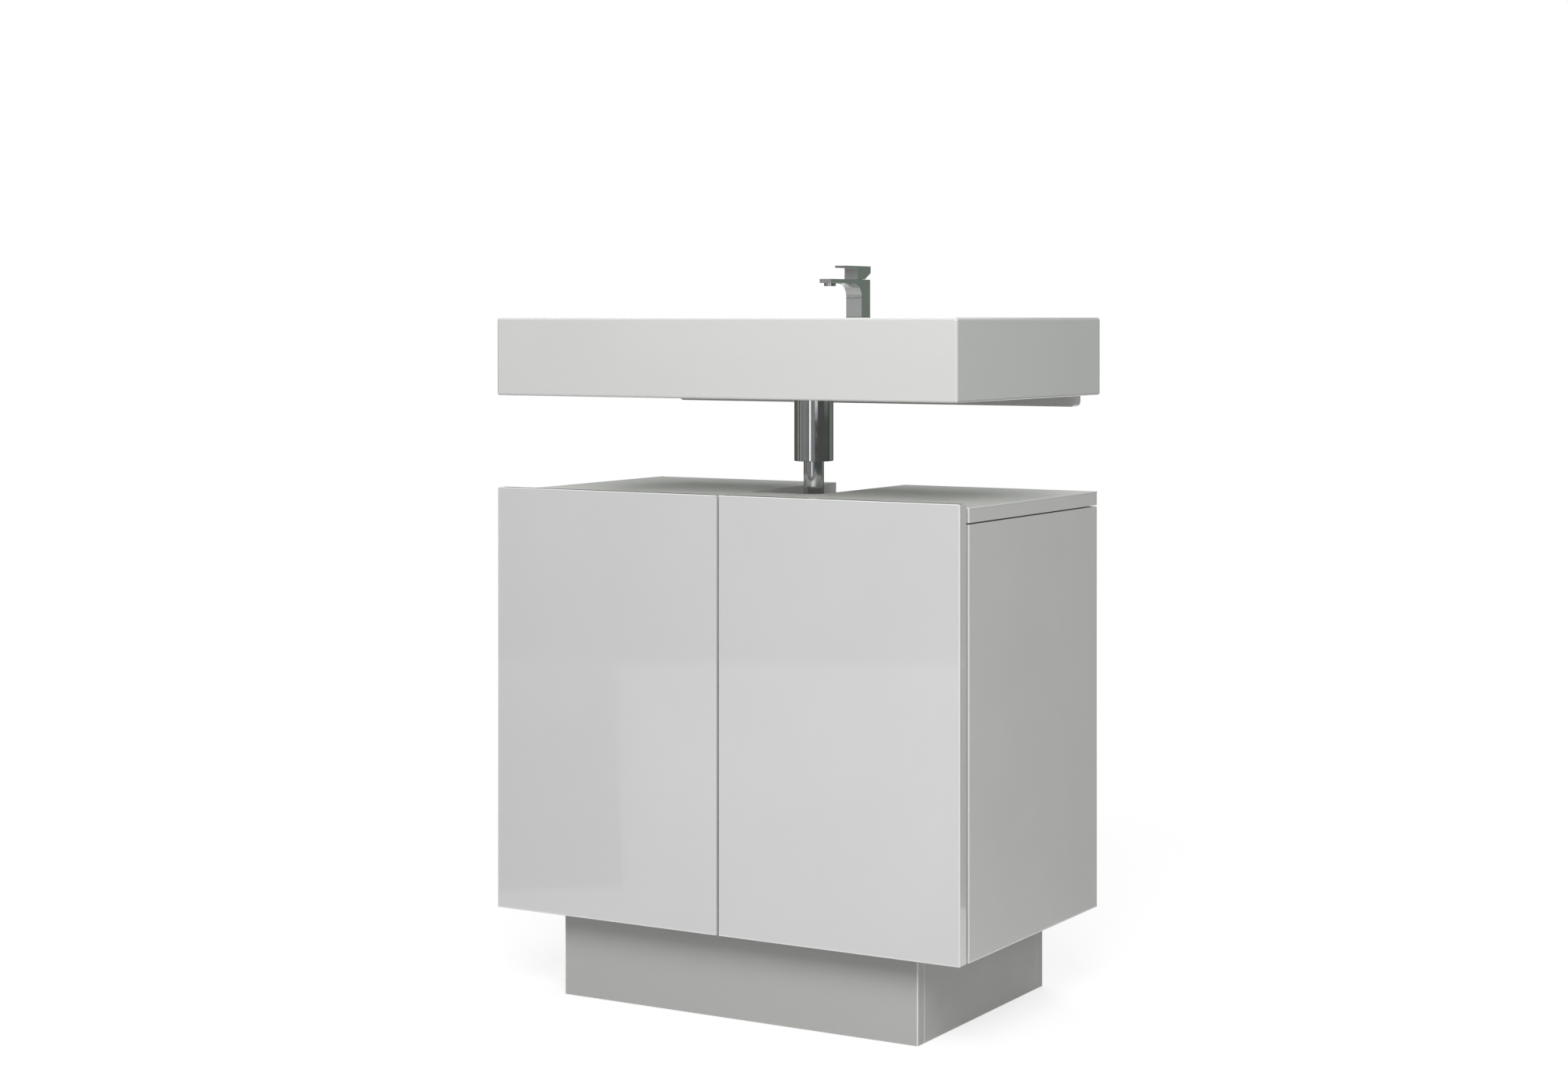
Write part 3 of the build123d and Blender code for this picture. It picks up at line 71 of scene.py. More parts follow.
def add_camera():
    data = bpy.data.cameras.new("photo_camera")
    data.lens = LENS_MM
    data.sensor_width = SENSOR_MM
    data.shift_y = SHIFT_Y
    data.clip_start = CLIP_START
    data.clip_end = CLIP_END
    camera = link(bpy.data.objects.new("photo_camera", data))
    camera.location = CAMERA_PLACE
    camera.rotation_euler = (math.radians(90), 0, math.radians(CAMERA_YAW_DEG))
    bpy.context.scene.camera = camera


# ------------------------------------------------------------------ shader helpers
# Most values of a noise texture lie between these two.
NOISE_LOW = 0.3
NOISE_HIGH = 0.7


class Shader:
    """One material's node tree, with short calls for the nodes used here."""

    def __init__(self, name):
        self.material = bpy.data.materials.new(name)
        self.material.use_nodes = True
        self.tree = self.material.node_tree
        self.bsdf = self.tree.nodes["Principled BSDF"]
        self.output = self.tree.nodes["Material Output"]
        self.coordinates = self.tree.nodes.new("ShaderNodeTexCoord").outputs["Object"]

    def join(self, out, socket):
        self.tree.links.new(out, socket)

    def fill(self, node, inputs):
        """Sets or links a node's inputs by name, where _ stands for a space."""
        for key, value in inputs.items():
            socket = node.inputs[key.replace("_", " ")]
            if isinstance(value, bpy.types.NodeSocket):
                self.join(value, socket)
            else:
                socket.default_value = value

    def add(self, kind, **inputs):
        node = self.tree.nodes.new(kind)
        self.fill(node, inputs)
        return node

    def set(self, **inputs):
        self.fill(self.bsdf, inputs)

    def noise(self, scale, detail, roughness=0.55, stretch=None):
        vector = self.coordinates
        if stretch:
            vector = self.add("ShaderNodeMapping", Vector=vector, Scale=stretch).outputs["Vector"]
        return self.add("ShaderNodeTexNoise", Vector=vector, Scale=scale, Detail=detail,
                        Roughness=roughness).outputs["Fac"]

    def cells(self, scale):
        """How far each place is from the nearest of many scattered points."""
        return self.add("ShaderNodeTexVoronoi", Vector=self.coordinates,
                        Scale=scale).outputs["Distance"]

    def tint(self, value, colour, darkest, lightest, low=NOISE_LOW, high=NOISE_HIGH):
        """The colour times darkest where the value is low, and times lightest where it is high."""
        node = self.add("ShaderNodeValToRGB", Fac=value)
        stops = ((low, darkest), (high, lightest))
        for element, (place, factor) in zip(node.color_ramp.elements, stops):
            element.position = place
            element.color = (*(min(1.0, part * factor) for part in colour), 1)
        return node.outputs["Color"]

    def spread(self, value, out_low, out_high, low=NOISE_LOW, high=NOISE_HIGH):
        """A number from out_low, where the value is low, to out_high, where it is high."""
        return self.add("ShaderNodeMapRange", Value=value, From_Min=low, From_Max=high,
                        To_Min=out_low, To_Max=out_high).outputs["Result"]

    def bump(self, height, distance, strength, normal=None):
        node = self.add("ShaderNodeBump", Height=height, Distance=distance, Strength=strength)
        if normal is not None:
            self.join(normal, node.inputs["Normal"])
        return node.outputs["Normal"]


# ------------------------------------------------------------------ materials
def lacquer(name, colour, roughness, coat):
    """Sprayed lacquer: faint cloudiness, orange peel, and a clear coat unless coat is 0."""
    s = Shader(name)
    cloud = s.noise(scale=7.0, detail=4.0)
    smear = s.noise(scale=26.0, detail=5.0, roughness=0.6)
    peel = s.noise(scale=420.0, detail=2.0)
    s.set(Base_Color=s.tint(cloud, colour, darkest=0.988, lightest=1.012),
          Roughness=s.spread(smear, roughness * 0.85, roughness * 1.2),
          Normal=s.bump(peel, distance=0.00002, strength=0.6), IOR=1.5)
    if coat:
        s.set(Coat_Weight=coat, Coat_Roughness=0.035, Coat_IOR=1.5)
    return s.material


def melamine(name, colour, roughness=0.42):
    """Board facing with a fine pearl texture."""
    s = Shader(name)
    cloud = s.noise(scale=11.0, detail=5.0)
    grain = s.noise(scale=1400.0, detail=2.0)
    pearly = s.bump(s.cells(scale=900.0), distance=0.00003, strength=0.5)
    s.set(Base_Color=s.tint(cloud, colour, darkest=0.975, lightest=1.02, low=0.25, high=0.75),
          Roughness=s.spread(grain, roughness - 0.05, roughness + 0.07),
          Normal=s.bump(grain, distance=0.00002, strength=0.5, normal=pearly))
    return s.material


def glaze(name, colour):
    """Vitreous glaze: a glassy coat over a faintly uneven white body with small pinholes."""
    s = Shader(name)
    cloud = s.noise(scale=5.0, detail=4.0)
    wave = s.noise(scale=34.0, detail=2.0, roughness=0.4)
    pits = s.spread(s.cells(scale=120.0), 0.0, 1.0, low=0.015, high=0.05)
    wavy = s.bump(wave, distance=0.00012, strength=0.2)
    s.set(Base_Color=s.tint(cloud, colour, darkest=0.985, lightest=1.01),
          Roughness=s.spread(wave, 0.17, 0.19),
          Normal=s.bump(pits, distance=0.00002, strength=0.4, normal=wavy), IOR=1.52,
          Coat_Weight=0.6, Coat_Roughness=0.04, Coat_IOR=1.5)
    return s.material


def chrome(name, colour):
    """Polished plating with hazy wiping marks and a very fine grain."""
    s = Shader(name)
    haze = s.noise(scale=60.0, detail=5.0, roughness=0.6)
    grain = s.noise(scale=500.0, detail=3.0, roughness=0.5)
    s.set(Base_Color=s.tint(haze, colour, darkest=0.96, lightest=1.03), Metallic=1.0,
          Roughness=s.spread(haze, 0.042, 0.102, low=0.35, high=0.75),
          Normal=s.bump(grain, distance=0.000006, strength=0.5))
    return s.material


def plated_steel(name, colour, roughness=0.28):
    """Stamped and plated metal: fine rolling lines, specks and uneven gloss."""
    s = Shader(name)
    lines = s.noise(scale=300.0, detail=4.0, roughness=0.6, stretch=(1.0, 0.08, 1.0))
    speck = s.noise(scale=900.0, detail=2.0)
    specked = s.bump(speck, distance=0.00001, strength=0.4)
    s.set(Base_Color=s.tint(lines, colour, darkest=0.93, lightest=1.04), Metallic=1.0,
          Roughness=s.spread(speck, roughness * 0.8, roughness * 1.25),
          Normal=s.bump(lines, distance=0.00001, strength=0.6, normal=specked))
    return s.material


def rubber(name, colour, roughness=0.65, subsurface=0.0):
    """Rubber or silicone with a fine grain and a little dust."""
    s = Shader(name)
    dust = s.noise(scale=70.0, detail=5.0, roughness=0.6)
    grain = s.noise(scale=1600.0, detail=2.0)
    s.set(Base_Color=s.tint(dust, colour, darkest=0.85, lightest=1.2, low=0.35, high=0.8),
          Roughness=s.spread(dust, roughness - 0.08, roughness + 0.1),
          Normal=s.bump(grain, distance=0.00003, strength=0.7), Subsurface_Weight=subsurface)
    return s.material


def moulded(name, colour):
    """Moulded plastic with flow marks and a spark-eroded grain."""
    s = Shader(name)
    spark = s.noise(scale=1100.0, detail=3.0, roughness=0.7)
    flow = s.noise(scale=30.0, detail=3.0, roughness=0.5, stretch=(1.0, 0.3, 1.0))
    s.set(Base_Color=s.tint(flow, colour, darkest=0.96, lightest=1.03),
          Roughness=s.spread(spark, 0.39, 0.53),
          Normal=s.bump(spark, distance=0.00004, strength=0.6))
    return s.material


def build_materials():
    """The CAD nodes' finishes by slot, and two more for the fine pieces: lip_painted_highlight and screw."""
    return {
        "board_white": melamine("board_white_satin", (0.75, 0.757, 0.73)),
        "back_board": melamine("back_board_matt", (0.66, 0.66, 0.64), roughness=0.55),
        "door_gloss": lacquer("door_gloss_lacquer", (0.755, 0.755, 0.757), roughness=0.22,
                              coat=1.0),
        # The plinth's grey, darker than the boards above, is painted shade: it stands in for the
        # shade under the cabinet's overhang.
        "plinth_board": lacquer("plinth_lacquer_painted_shade", (0.55, 0.557, 0.537), roughness=0.38,
                                coat=0.0),
        "ceramic_white": glaze("basin_glaze", (0.785, 0.792, 0.768)),
        "steel_bright": plated_steel("hinge_plated_steel", (0.66, 0.66, 0.65)),
        "chrome_bright": chrome("tap_and_trap_chrome", (0.56, 0.57, 0.57)),
        "rubber_grey": rubber("seal_rubber", (0.05, 0.05, 0.052)),
        "buffer_clear": rubber("buffer_silicone", (0.55, 0.56, 0.56), roughness=0.35,
                               subsurface=0.3),
        "latch_plastic": moulded("latch_nylon", (0.62, 0.62, 0.61)),
        # Lighter than the boards and doors: a painted highlight along their edges, added to the
        # light that the rounded lip catches.
        "lip_painted_highlight": lacquer("band_lip_painted_highlight", (0.95, 0.95, 0.93), roughness=0.2, coat=0.3),
        "screw": plated_steel("screw_zinc", (0.60, 0.60, 0.58), roughness=0.24),
        "brass_plain": plated_steel("machined_brass", (0.62, 0.45, 0.20), roughness=0.22),
    }


def dress_cad(materials):
    for name, obj in NODES.items():
        obj.data.materials.clear()
        obj.data.materials.append(materials[SLOT_OF[name]])


# ------------------------------------------------------------------ light, floor and background
# The world's strength for rays that carry light, and for rays that look: 1 is white.
WORLD_LIGHT = 0.42
WORLD_WHITE = 1.0
# Name, place, width and height, and watts.
SOFTBOXES = (
    ("key_softbox", (1.15, -2.4, 2.2), (1.7, 1.5), 57.0),
    ("back_softbox", (-1.5, 2.1, 3.2), (2.0, 1.6), 26.0),
)
SOFTBOX_AIM = (0.0, 0.0, 0.42)
FLOOR_HALF = 30.0
FLOOR_CELLS = 8
FLOOR_DROP = 0.0005  # below the plinth, so that the two don't share a plane
FLOOR_COLOUR = (0.45, 0.45, 0.45, 1)
# The floor glows to rays that look, from one strength to the other between two distances.
FLOOR_NEAR = 1.2
FLOOR_FAR = 4.2
FLOOR_GLOW_NEAR = 0.70
FLOOR_GLOW_FAR = 0.82


def from_bmesh(name, bm, material):
    """New object from a bmesh, which is used up."""
    mesh = bpy.data.meshes.new(name)
    bm.to_mesh(mesh)
    bm.free()
    mesh.materials.append(material)
    return link(bpy.data.objects.new(name, mesh))


def any_view_ray(tree):
    """1 for camera, mirror and see-through rays, 0 for rays that only carry light."""
    path = tree.nodes.new("ShaderNodeLightPath")
    value = path.outputs["Is Camera Ray"]
    for kind in ("Is Glossy Ray", "Is Transmission Ray"):
        node = tree.nodes.new("ShaderNodeMath")
        node.operation = "MAXIMUM"
        tree.links.new(value, node.inputs[0])
        tree.links.new(path.outputs[kind], node.inputs[1])
        value = node.outputs[0]
    return value


def add_world():
    world = bpy.data.worlds.new("studio_world")
    bpy.context.scene.world = world
    world.use_nodes = True
    tree = world.node_tree
    tree.nodes.clear()
    out = tree.nodes.new("ShaderNodeOutputWorld")
    mix = tree.nodes.new("ShaderNodeMixShader")
    tree.links.new(any_view_ray(tree), mix.inputs[0])
    for place, strength in ((1, WORLD_LIGHT), (2, WORLD_WHITE)):
        light = tree.nodes.new("ShaderNodeBackground")
        light.inputs["Color"].default_value = (1, 1, 1, 1)
        light.inputs["Strength"].default_value = strength
        tree.links.new(light.outputs[0], mix.inputs[place])
    tree.links.new(mix.outputs[0], out.inputs["Surface"])


def add_floor():
    """Pale floor that keeps the object's shadow and gets whiter with distance."""
    s = Shader("floor_white")
    s.set(Base_Color=FLOOR_COLOUR, Roughness=0.9, Specular_IOR_Level=0.0)
    apart = s.add("ShaderNodeVectorMath", Vector=s.coordinates)
    apart.operation = "LENGTH"
    level = s.spread(apart.outputs["Value"], FLOOR_GLOW_NEAR, FLOOR_GLOW_FAR,
                     low=FLOOR_NEAR, high=FLOOR_FAR)
    strength = s.add("ShaderNodeMath")
    strength.operation = "MULTIPLY"
    s.join(any_view_ray(s.tree), strength.inputs[0])
    s.join(level, strength.inputs[1])
    glow = s.add("ShaderNodeEmission", Strength=strength.outputs[0])
    both = s.add("ShaderNodeAddShader")
    s.join(s.bsdf.outputs[0], both.inputs[0])
    s.join(glow.outputs[0], both.inputs[1])
    s.join(both.outputs[0], s.output.inputs["Surface"])
    bm = bmesh.new()
    bmesh.ops.create_grid(bm, x_segments=FLOOR_CELLS, y_segments=FLOOR_CELLS, size=FLOOR_HALF)
    floor = from_bmesh("studio_floor", bm, s.material)
    floor.location.z = -FLOOR_DROP


def add_lights():
    for name, place, size, watts in SOFTBOXES:
        data = bpy.data.lights.new(name, "AREA")
        data.shape = "RECTANGLE"
        data.size, data.size_y = size
        data.energy = watts
        light = link(bpy.data.objects.new(name, data))
        light.location = place
        towards = Vector(SOFTBOX_AIM) - Vector(place)
        light.rotation_euler = towards.to_track_quat("-Z", "Y").to_euler()


# Screens in a ring, which only glossy rays see: azimuths in degrees from the front towards
# the right-hand side, lower and upper edge, and colour. All are grey but one bright strip.
SCREEN_RADIUS = 3.4
SCREEN_TOP = 2.4
SCREEN_STEP_DEG = 4.0
SCREENS = (
    ((-180, -112), (0.0, SCREEN_TOP), (0.09, 0.11, 0.095)),
    ((-112, -78), (0.0, SCREEN_TOP), (0.15, 0.135, 0.12)),
    ((-75, -57), (0.0, SCREEN_TOP), (0.15, 0.14, 0.13)),
    ((-55, -34), (0.0, SCREEN_TOP), (0.26, 0.265, 0.265)),
    ((-34, -16), (0.0, 0.70), (0.30, 0.305, 0.305)),
    ((-34, -16), (0.70, 0.88), (0.56, 0.57, 0.56)),
    ((-34, -16), (0.88, SCREEN_TOP), (0.25, 0.245, 0.24)),
    ((-16, 3), (0.0, SCREEN_TOP), (0.25, 0.255, 0.265)),
    ((4, 11), (0.0, 1.6), (1.8, 1.8, 1.8)),
    ((13, 36), (0.0, SCREEN_TOP), (0.29, 0.295, 0.31)),
    ((36, 53), (0.0, 0.56), (0.10, 0.105, 0.10)),
    ((53, 94), (0.0, SCREEN_TOP), (0.10, 0.105, 0.10)),
    ((94, 124), (0.0, 0.56), (0.10, 0.105, 0.10)),
    ((94, 124), (0.56, SCREEN_TOP), (0.22, 0.23, 0.22)),
    ((124, 136), (0.0, SCREEN_TOP), (0.07, 0.08, 0.07)),
    ((136, 166), (0.0, SCREEN_TOP), (0.23, 0.27, 0.235)),
    ((166, 180), (0.0, SCREEN_TOP), (0.09, 0.11, 0.095)),
)
# Cards just above the floor, seen the same way: azimuths, nearest and farthest distance, and
# colour.
CARD_HEIGHT = 0.002
LOW_CARDS = (
    ((-80, -34), (0.9, 3.35), (0.42, 0.42, 0.42)),
    ((128, 172), (0.5, 3.35), (0.23, 0.27, 0.235)),
)


def ring_point(azimuth_deg, radius, z):
    angle = math.radians(azimuth_deg)
    return (radius * math.sin(angle), -radius * math.cos(angle), z)


def azimuths(start, end):
    steps = max(1, round((end - start) / SCREEN_STEP_DEG))
    return [start + (end - start) * i / steps for i in range(steps + 1)]


def glossy_only(name, columns, colour):
    """A glowing card between columns of two points, which only glossy rays see."""
    s = Shader(name)
    glow = s.add("ShaderNodeEmission", Color=(*colour, 1), Strength=1.0)
    s.join(glow.outputs[0], s.output.inputs["Surface"])
    bm = bmesh.new()
    made = [(bm.verts.new(low), bm.verts.new(high)) for low, high in columns]
    for (low_a, high_a), (low_b, high_b) in zip(made, made[1:]):
        bm.faces.new((low_a, low_b, high_b, high_a))
    screen = from_bmesh(name, bm, s.material)
    for kind in ("camera", "diffuse", "shadow", "transmission", "volume_scatter"):
        setattr(screen, "visible_" + kind, False)


def add_screens():
    for number, (span, (low, high), colour) in enumerate(SCREENS):
        columns = [(ring_point(a, SCREEN_RADIUS, low), ring_point(a, SCREEN_RADIUS, high))
                   for a in azimuths(*span)]
        glossy_only("studio_screen_%d" % number, columns, colour)
    for number, (span, (near, far), colour) in enumerate(LOW_CARDS):
        columns = [(ring_point(a, near, CARD_HEIGHT), ring_point(a, far, CARD_HEIGHT))
                   for a in azimuths(*span)]
        glossy_only("studio_low_card_%d" % number, columns, colour)


# ------------------------------------------------------------------ fine pieces: helpers
SHARP_DEG = 35.0


def piece(name, bm, material, body, sharp_deg=SHARP_DEG):
    """Turns a bmesh into a smooth-shaded object that rides on a body."""
    bmesh.ops.recalc_face_normals(bm, faces=bm.faces)
    obj = from_bmesh(name, bm, material)
    for polygon in obj.data.polygons:
        polygon.use_smooth = True
    obj.data.set_sharp_from_angle(angle=math.radians(sharp_deg))
    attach(obj, body)
    return obj


def tube(bm, rings):
    """Joins each ring of points to the next, and returns the rings' vertices."""
    made = [[bm.verts.new(point) for point in ring] for ring in rings]
    for first, second in zip(made, made[1:]):
        for i in range(len(first)):
            j = (i + 1) % len(first)
            bm.faces.new((first[i], first[j], second[j], second[i]))
    return made


def closed_tube(bm, rings):
    """A tube with a face over each end."""
    made = tube(bm, rings)
    bm.faces.new(made[0][::-1])
    bm.faces.new(made[-1])


def turns(count):
    """Evenly spaced angles of one whole turn."""
    return [2 * math.pi * i / count for i in range(count)]


def islands(node):
    """Lowest and highest corner of each loose part of a node's mesh, at rest."""
    bm = bmesh.new()
    bm.from_mesh(NODES[node].data)
    seen = set()
    boxes = []
    for first in bm.verts:
        if first.index in seen:
            continue
        stack, members = [first], []
        seen.add(first.index)
        while stack:
            vert = stack.pop()
            members.append(vert.co.copy())
            for edge in vert.link_edges:
                other = edge.other_vert(vert)
                if other.index not in seen:
                    seen.add(other.index)
                    stack.append(other)
        low = Vector(min(point[i] for point in members) for i in range(3))
        high = Vector(max(point[i] for point in members) for i in range(3))
        boxes.append((low, high))
    bm.free()
    return boxes


# ------------------------------------------------------------------ edge-band lips with a painted highlight
BEAD_RADIUS = 0.00088
BEAD_INSET = 0.00055  # from each of the two sides to the lip's centre
BEAD_END_GAP = 0.0002  # from the ends of the edge
BEAD_STEPS = 6
BEAD_START_DEG = -25
BEAD_SWEEP_DEG = 140
BEAD_HEEL = 0.6  # how far the inner corner goes in from the centre, both ways, in radii
# Sides of a box, by left, right, front, back, top and under: axis and direction.
BOX_SIDES = {"l": (0, -1), "r": (0, 1), "f": (1, -1), "b": (1, 1), "t": (2, 1), "u": (2, -1)}
# Board edges that get a rounded lip in a lighter colour than the board, a painted highlight that
# shows as a fine
# bright line: piece, node, the two sides that meet at each edge, and slot.
BANDED = (
    ("side_band_right", "side_panel_right", ("rf", "lf", "ru"), "board_white"),
    ("side_band_left", "side_panel_left", ("lf", "rf", "lu"), "board_white"),
    ("top_band", "top_panel", ("rf", "lf", "ft", "rt", "lt"), "board_white"),
    ("bottom_band", "bottom_panel", ("ft", "fu"), "board_white"),
    ("shelf_band", "shelf", ("ft", "fu"), "board_white"),
    ("door_band_right", "door_right", ("ft", "rf", "fu"), "door_gloss"),
    ("door_band_left", "door_left", ("ft", "lf", "fu"), "door_gloss"),
    ("plinth_front_band", "plinth_front", ("rf", "lf", "rb", "lb"), "plinth_board"),
    ("plinth_side_band_right", "plinth_side_right", ("rb",), "plinth_board"),
    ("plinth_side_band_left", "plinth_side_left", ("lb",), "plinth_board"),
)


def bead(bm, start, end, out_a, out_b):
    """Rounded lip along a board's edge, between two outward directions."""
    run = (end - start).normalized()
    rings = []
    for place, nudge in ((start, BEAD_END_GAP), (end, -BEAD_END_GAP)):
        core = place + run * nudge - (out_a + out_b) * BEAD_INSET
        ring = []
        for i in range(BEAD_STEPS + 1):
            angle = math.radians(BEAD_START_DEG + BEAD_SWEEP_DEG * i / BEAD_STEPS)
            ring.append(core + (out_a * math.cos(angle) + out_b * math.sin(angle)) * BEAD_RADIUS)
        ring.append(core - (out_a + out_b) * BEAD_RADIUS * BEAD_HEEL)
        rings.append(ring)
    closed_tube(bm, rings)


def edge_lines(node, edges):
    """Start, end and the two outward directions of named edges of a node's box."""
    box_low, box_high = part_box(node)
    found = []
    for pair in edges:
        start, end, outward = Vector(box_low), Vector(box_high), []
        for side in pair:
            axis, way = BOX_SIDES[side]
            start[axis] = end[axis] = (box_low if way < 0 else box_high)[axis]
            outward.append(Vector(way if i == axis else 0 for i in range(3)))
        found.append((start, end, *outward))
    return found


def add_bands(materials):
    for name, node, edges, slot in BANDED:
        bm = bmesh.new()
        for line in edge_lines(node, edges):
            bead(bm, *line)
        # Each lip takes the lighter colour, a painted highlight.
        piece(name, bm, materials["lip_painted_highlight"], BODY_OF[node])


# ------------------------------------------------------------------ screws
SCREW_SEGMENTS = 32
SCREW_SHARP_DEG = 28
SHANK_TO_HEAD = 0.5  # radius of the shank, as a share of the head's
# Tip, thread and neck: their radii are shares of the shank's.
TIP_LENGTH = 0.002
TIP_START = 0.2
TIP_END = 0.8
SCREW_PITCH = 0.0016
SCREW_THREAD = ((0.15, 0.72), (0.5, 0.72), (0.75, 0.98))  # share of the pitch, and radius
SCREW_THREAD_GAP = 0.001  # at least, from the thread to the head
NECK_LENGTH = 0.0006
NECK = 0.75
# Head and its cross recess.
HEAD_THICKNESS = 0.0017
HEAD_UNDERSIDE = 0.985  # its radius, as a share of the head's
HEAD_DOME = 0.0006
DOME_RINGS = 11
DOME_CENTRE = 0.4  # radius of the small flat in the middle, in ring steps
RECESS_DEPTH = 0.0013
RECESS_SLOT = 0.00075  # width of the arms
RECESS_ARM = 0.66  # reach of the arms, as a share of the head's radius
RECESS_ARM_DEPTH = 0.8  # as a share of the middle's
RECESS_MIDDLE = 0.95  # radius of the middle, as a share of the arms' width


def shank_profile(neck, shank, head):
    """Heights and radii from the tip to the rim of the head, whose underside is at neck."""
    profile = [(0.0, shank * TIP_START), (TIP_LENGTH, shank * TIP_END)]
    reach = TIP_LENGTH
    while reach + SCREW_PITCH < neck - SCREW_THREAD_GAP:
        profile += [(reach + SCREW_PITCH * part, shank * radius) for part, radius in SCREW_THREAD]
        reach += SCREW_PITCH
    profile += [(neck - NECK_LENGTH, shank * NECK), (neck, shank * NECK)]
    profile += [(neck, head * HEAD_UNDERSIDE), (neck + HEAD_THICKNESS - HEAD_DOME, head)]
    return profile


def recess(u, v, head):
    """Depth of the cross recess at a place on a head of that radius."""
    if math.hypot(u, v) < RECESS_SLOT * RECESS_MIDDLE:
        return RECESS_DEPTH
    if min(abs(u), abs(v)) < RECESS_SLOT / 2 and max(abs(u), abs(v)) < head * RECESS_ARM:
        return RECESS_DEPTH * RECESS_ARM_DEPTH
    return 0.0


def screw(bm, tip, top, head):
    """Pan-head screw with a cross recess and a threaded shank; head is its head's radius."""
    along = (top - tip).normalized()
    length = (top - tip).length
    side = along.orthogonal().normalized()
    other = along.cross(side)
    rings = []
    for height, radius in shank_profile(length - HEAD_THICKNESS, head * SHANK_TO_HEAD, head):
        rings.append([tip + along * height + (side * math.cos(a) + other * math.sin(a)) * radius
                      for a in turns(SCREW_SEGMENTS)])
    for k in range(1, DOME_RINGS + 1):
        share = 1 - k / (DOME_RINGS + DOME_CENTRE)
        ring = []
        for a in turns(SCREW_SEGMENTS):
            u, v = math.cos(a) * share * head, math.sin(a) * share * head
            height = length - HEAD_DOME * share ** 3 - recess(u, v, head)
            ring.append(tip + along * height + side * u + other * v)
        rings.append(ring)
    closed_tube(bm, rings)


def add_screws(materials):
    """Detailed screws in place of the plain ones that hold the hinge cups and plates."""
    for side, outward in (("right", 1), ("left", -1)):
        for kind, axis, tip_way in (("cup_screws", 1, -1), ("hinge_screws", 0, outward)):
            node = "%s_%s" % (kind, side)
            bm = bmesh.new()
            for low, high in islands(node):
                tip_end, top_end = (low, high) if tip_way < 0 else (high, low)
                tip = (low + high) / 2
                top = tip.copy()
                tip[axis], top[axis] = tip_end[axis], top_end[axis]
                screw(bm, tip, top, (high[2] - low[2]) / 2)
            obj = piece("detailed_" + node, bm, materials["screw"], BODY_OF[node],
                        SCREW_SHARP_DEG)
            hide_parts(node)


# ------------------------------------------------------------------ threads of the tap
THREAD_PITCH = 0.001
# Half the thread's width at its foot and at its crest, as shares of the pitch.
THREAD_BASE = 0.40
THREAD_CREST = 0.08
THREAD_ROOT = 0.0002  # sunk into the rod
THREAD_STEPS = 20  # in a turn
THREAD_FADE = 6  # it swells over the first sixth of its length and dies away over the last
THREAD_FOOT = 0.0008  # plain end of the rod below the thread
STUD_PROUD = 0.00022
STUD_NUT_GAP = 0.0004  # from the thread to the nut above
INLET_PROUD = 0.00025
INLET_THREAD_TOP = 0.011  # above the rod's lower end


def add_thread(materials, name, node, proud, low_z, high_z):
    """Raised helical thread on each upright rod of a node."""
    for number, (low, high) in enumerate(islands(node)):
        x, y = (low[0] + high[0]) / 2, (low[1] + high[1]) / 2
        rod = (high[0] - low[0]) / 2
        turn_count = (high_z - low_z) / THREAD_PITCH
        steps = int(turn_count * THREAD_STEPS)
        rings = []
        for i in range(steps + 1):
            angle = 2 * math.pi * turn_count * i / steps
            z = low_z + (high_z - low_z) * i / steps
            crest = proud * min(1.0, THREAD_FADE * i / steps, THREAD_FADE * (steps - i) / steps)
            rings.append([(x + (rod + out) * math.cos(angle), y + (rod + out) * math.sin(angle),
                           z + THREAD_PITCH * up)
                          for out, up in ((-THREAD_ROOT, -THREAD_BASE), (crest, -THREAD_CREST),
                                          (crest, THREAD_CREST), (-THREAD_ROOT, THREAD_BASE))])
        bm = bmesh.new()
        closed_tube(bm, rings)
        piece("%s_%d" % (name, number), bm, materials[SLOT_OF[node]], BODY_OF[node])


# ------------------------------------------------------------------ grille of the aerator
GRILLE_LIFT = 0.0009  # above the mouth's lower end
GRILLE_RADII = (0.0011, 0.0023, 0.0035, 0.00455)
GRILLE_RING_HALF_WIDTH = 0.00022
GRILLE_RING_HEIGHT = 0.0009
GRILLE_RING_SEGMENTS = 40
GRILLE_BARS = 8
GRILLE_BAR_REACH = 0.0046
GRILLE_BAR_HALF_WIDTH = 0.00018
GRILLE_BAR_HEIGHT = 0.0008
WELD = 1e-7


def grille_ring(bm, x, y, z, radius):
    """Thin upright ring: its section goes round once, and the seam is welded."""
    inner, outer = radius - GRILLE_RING_HALF_WIDTH, radius + GRILLE_RING_HALF_WIDTH
    section = ((inner, 0.0), (outer, 0.0), (outer, GRILLE_RING_HEIGHT),
               (inner, GRILLE_RING_HEIGHT), (inner, 0.0))
    tube(bm, [[(x + r * math.cos(a), y + r * math.sin(a), z + up)
               for a in turns(GRILLE_RING_SEGMENTS)] for r, up in section])
    bmesh.ops.remove_doubles(bm, verts=bm.verts, dist=WELD)


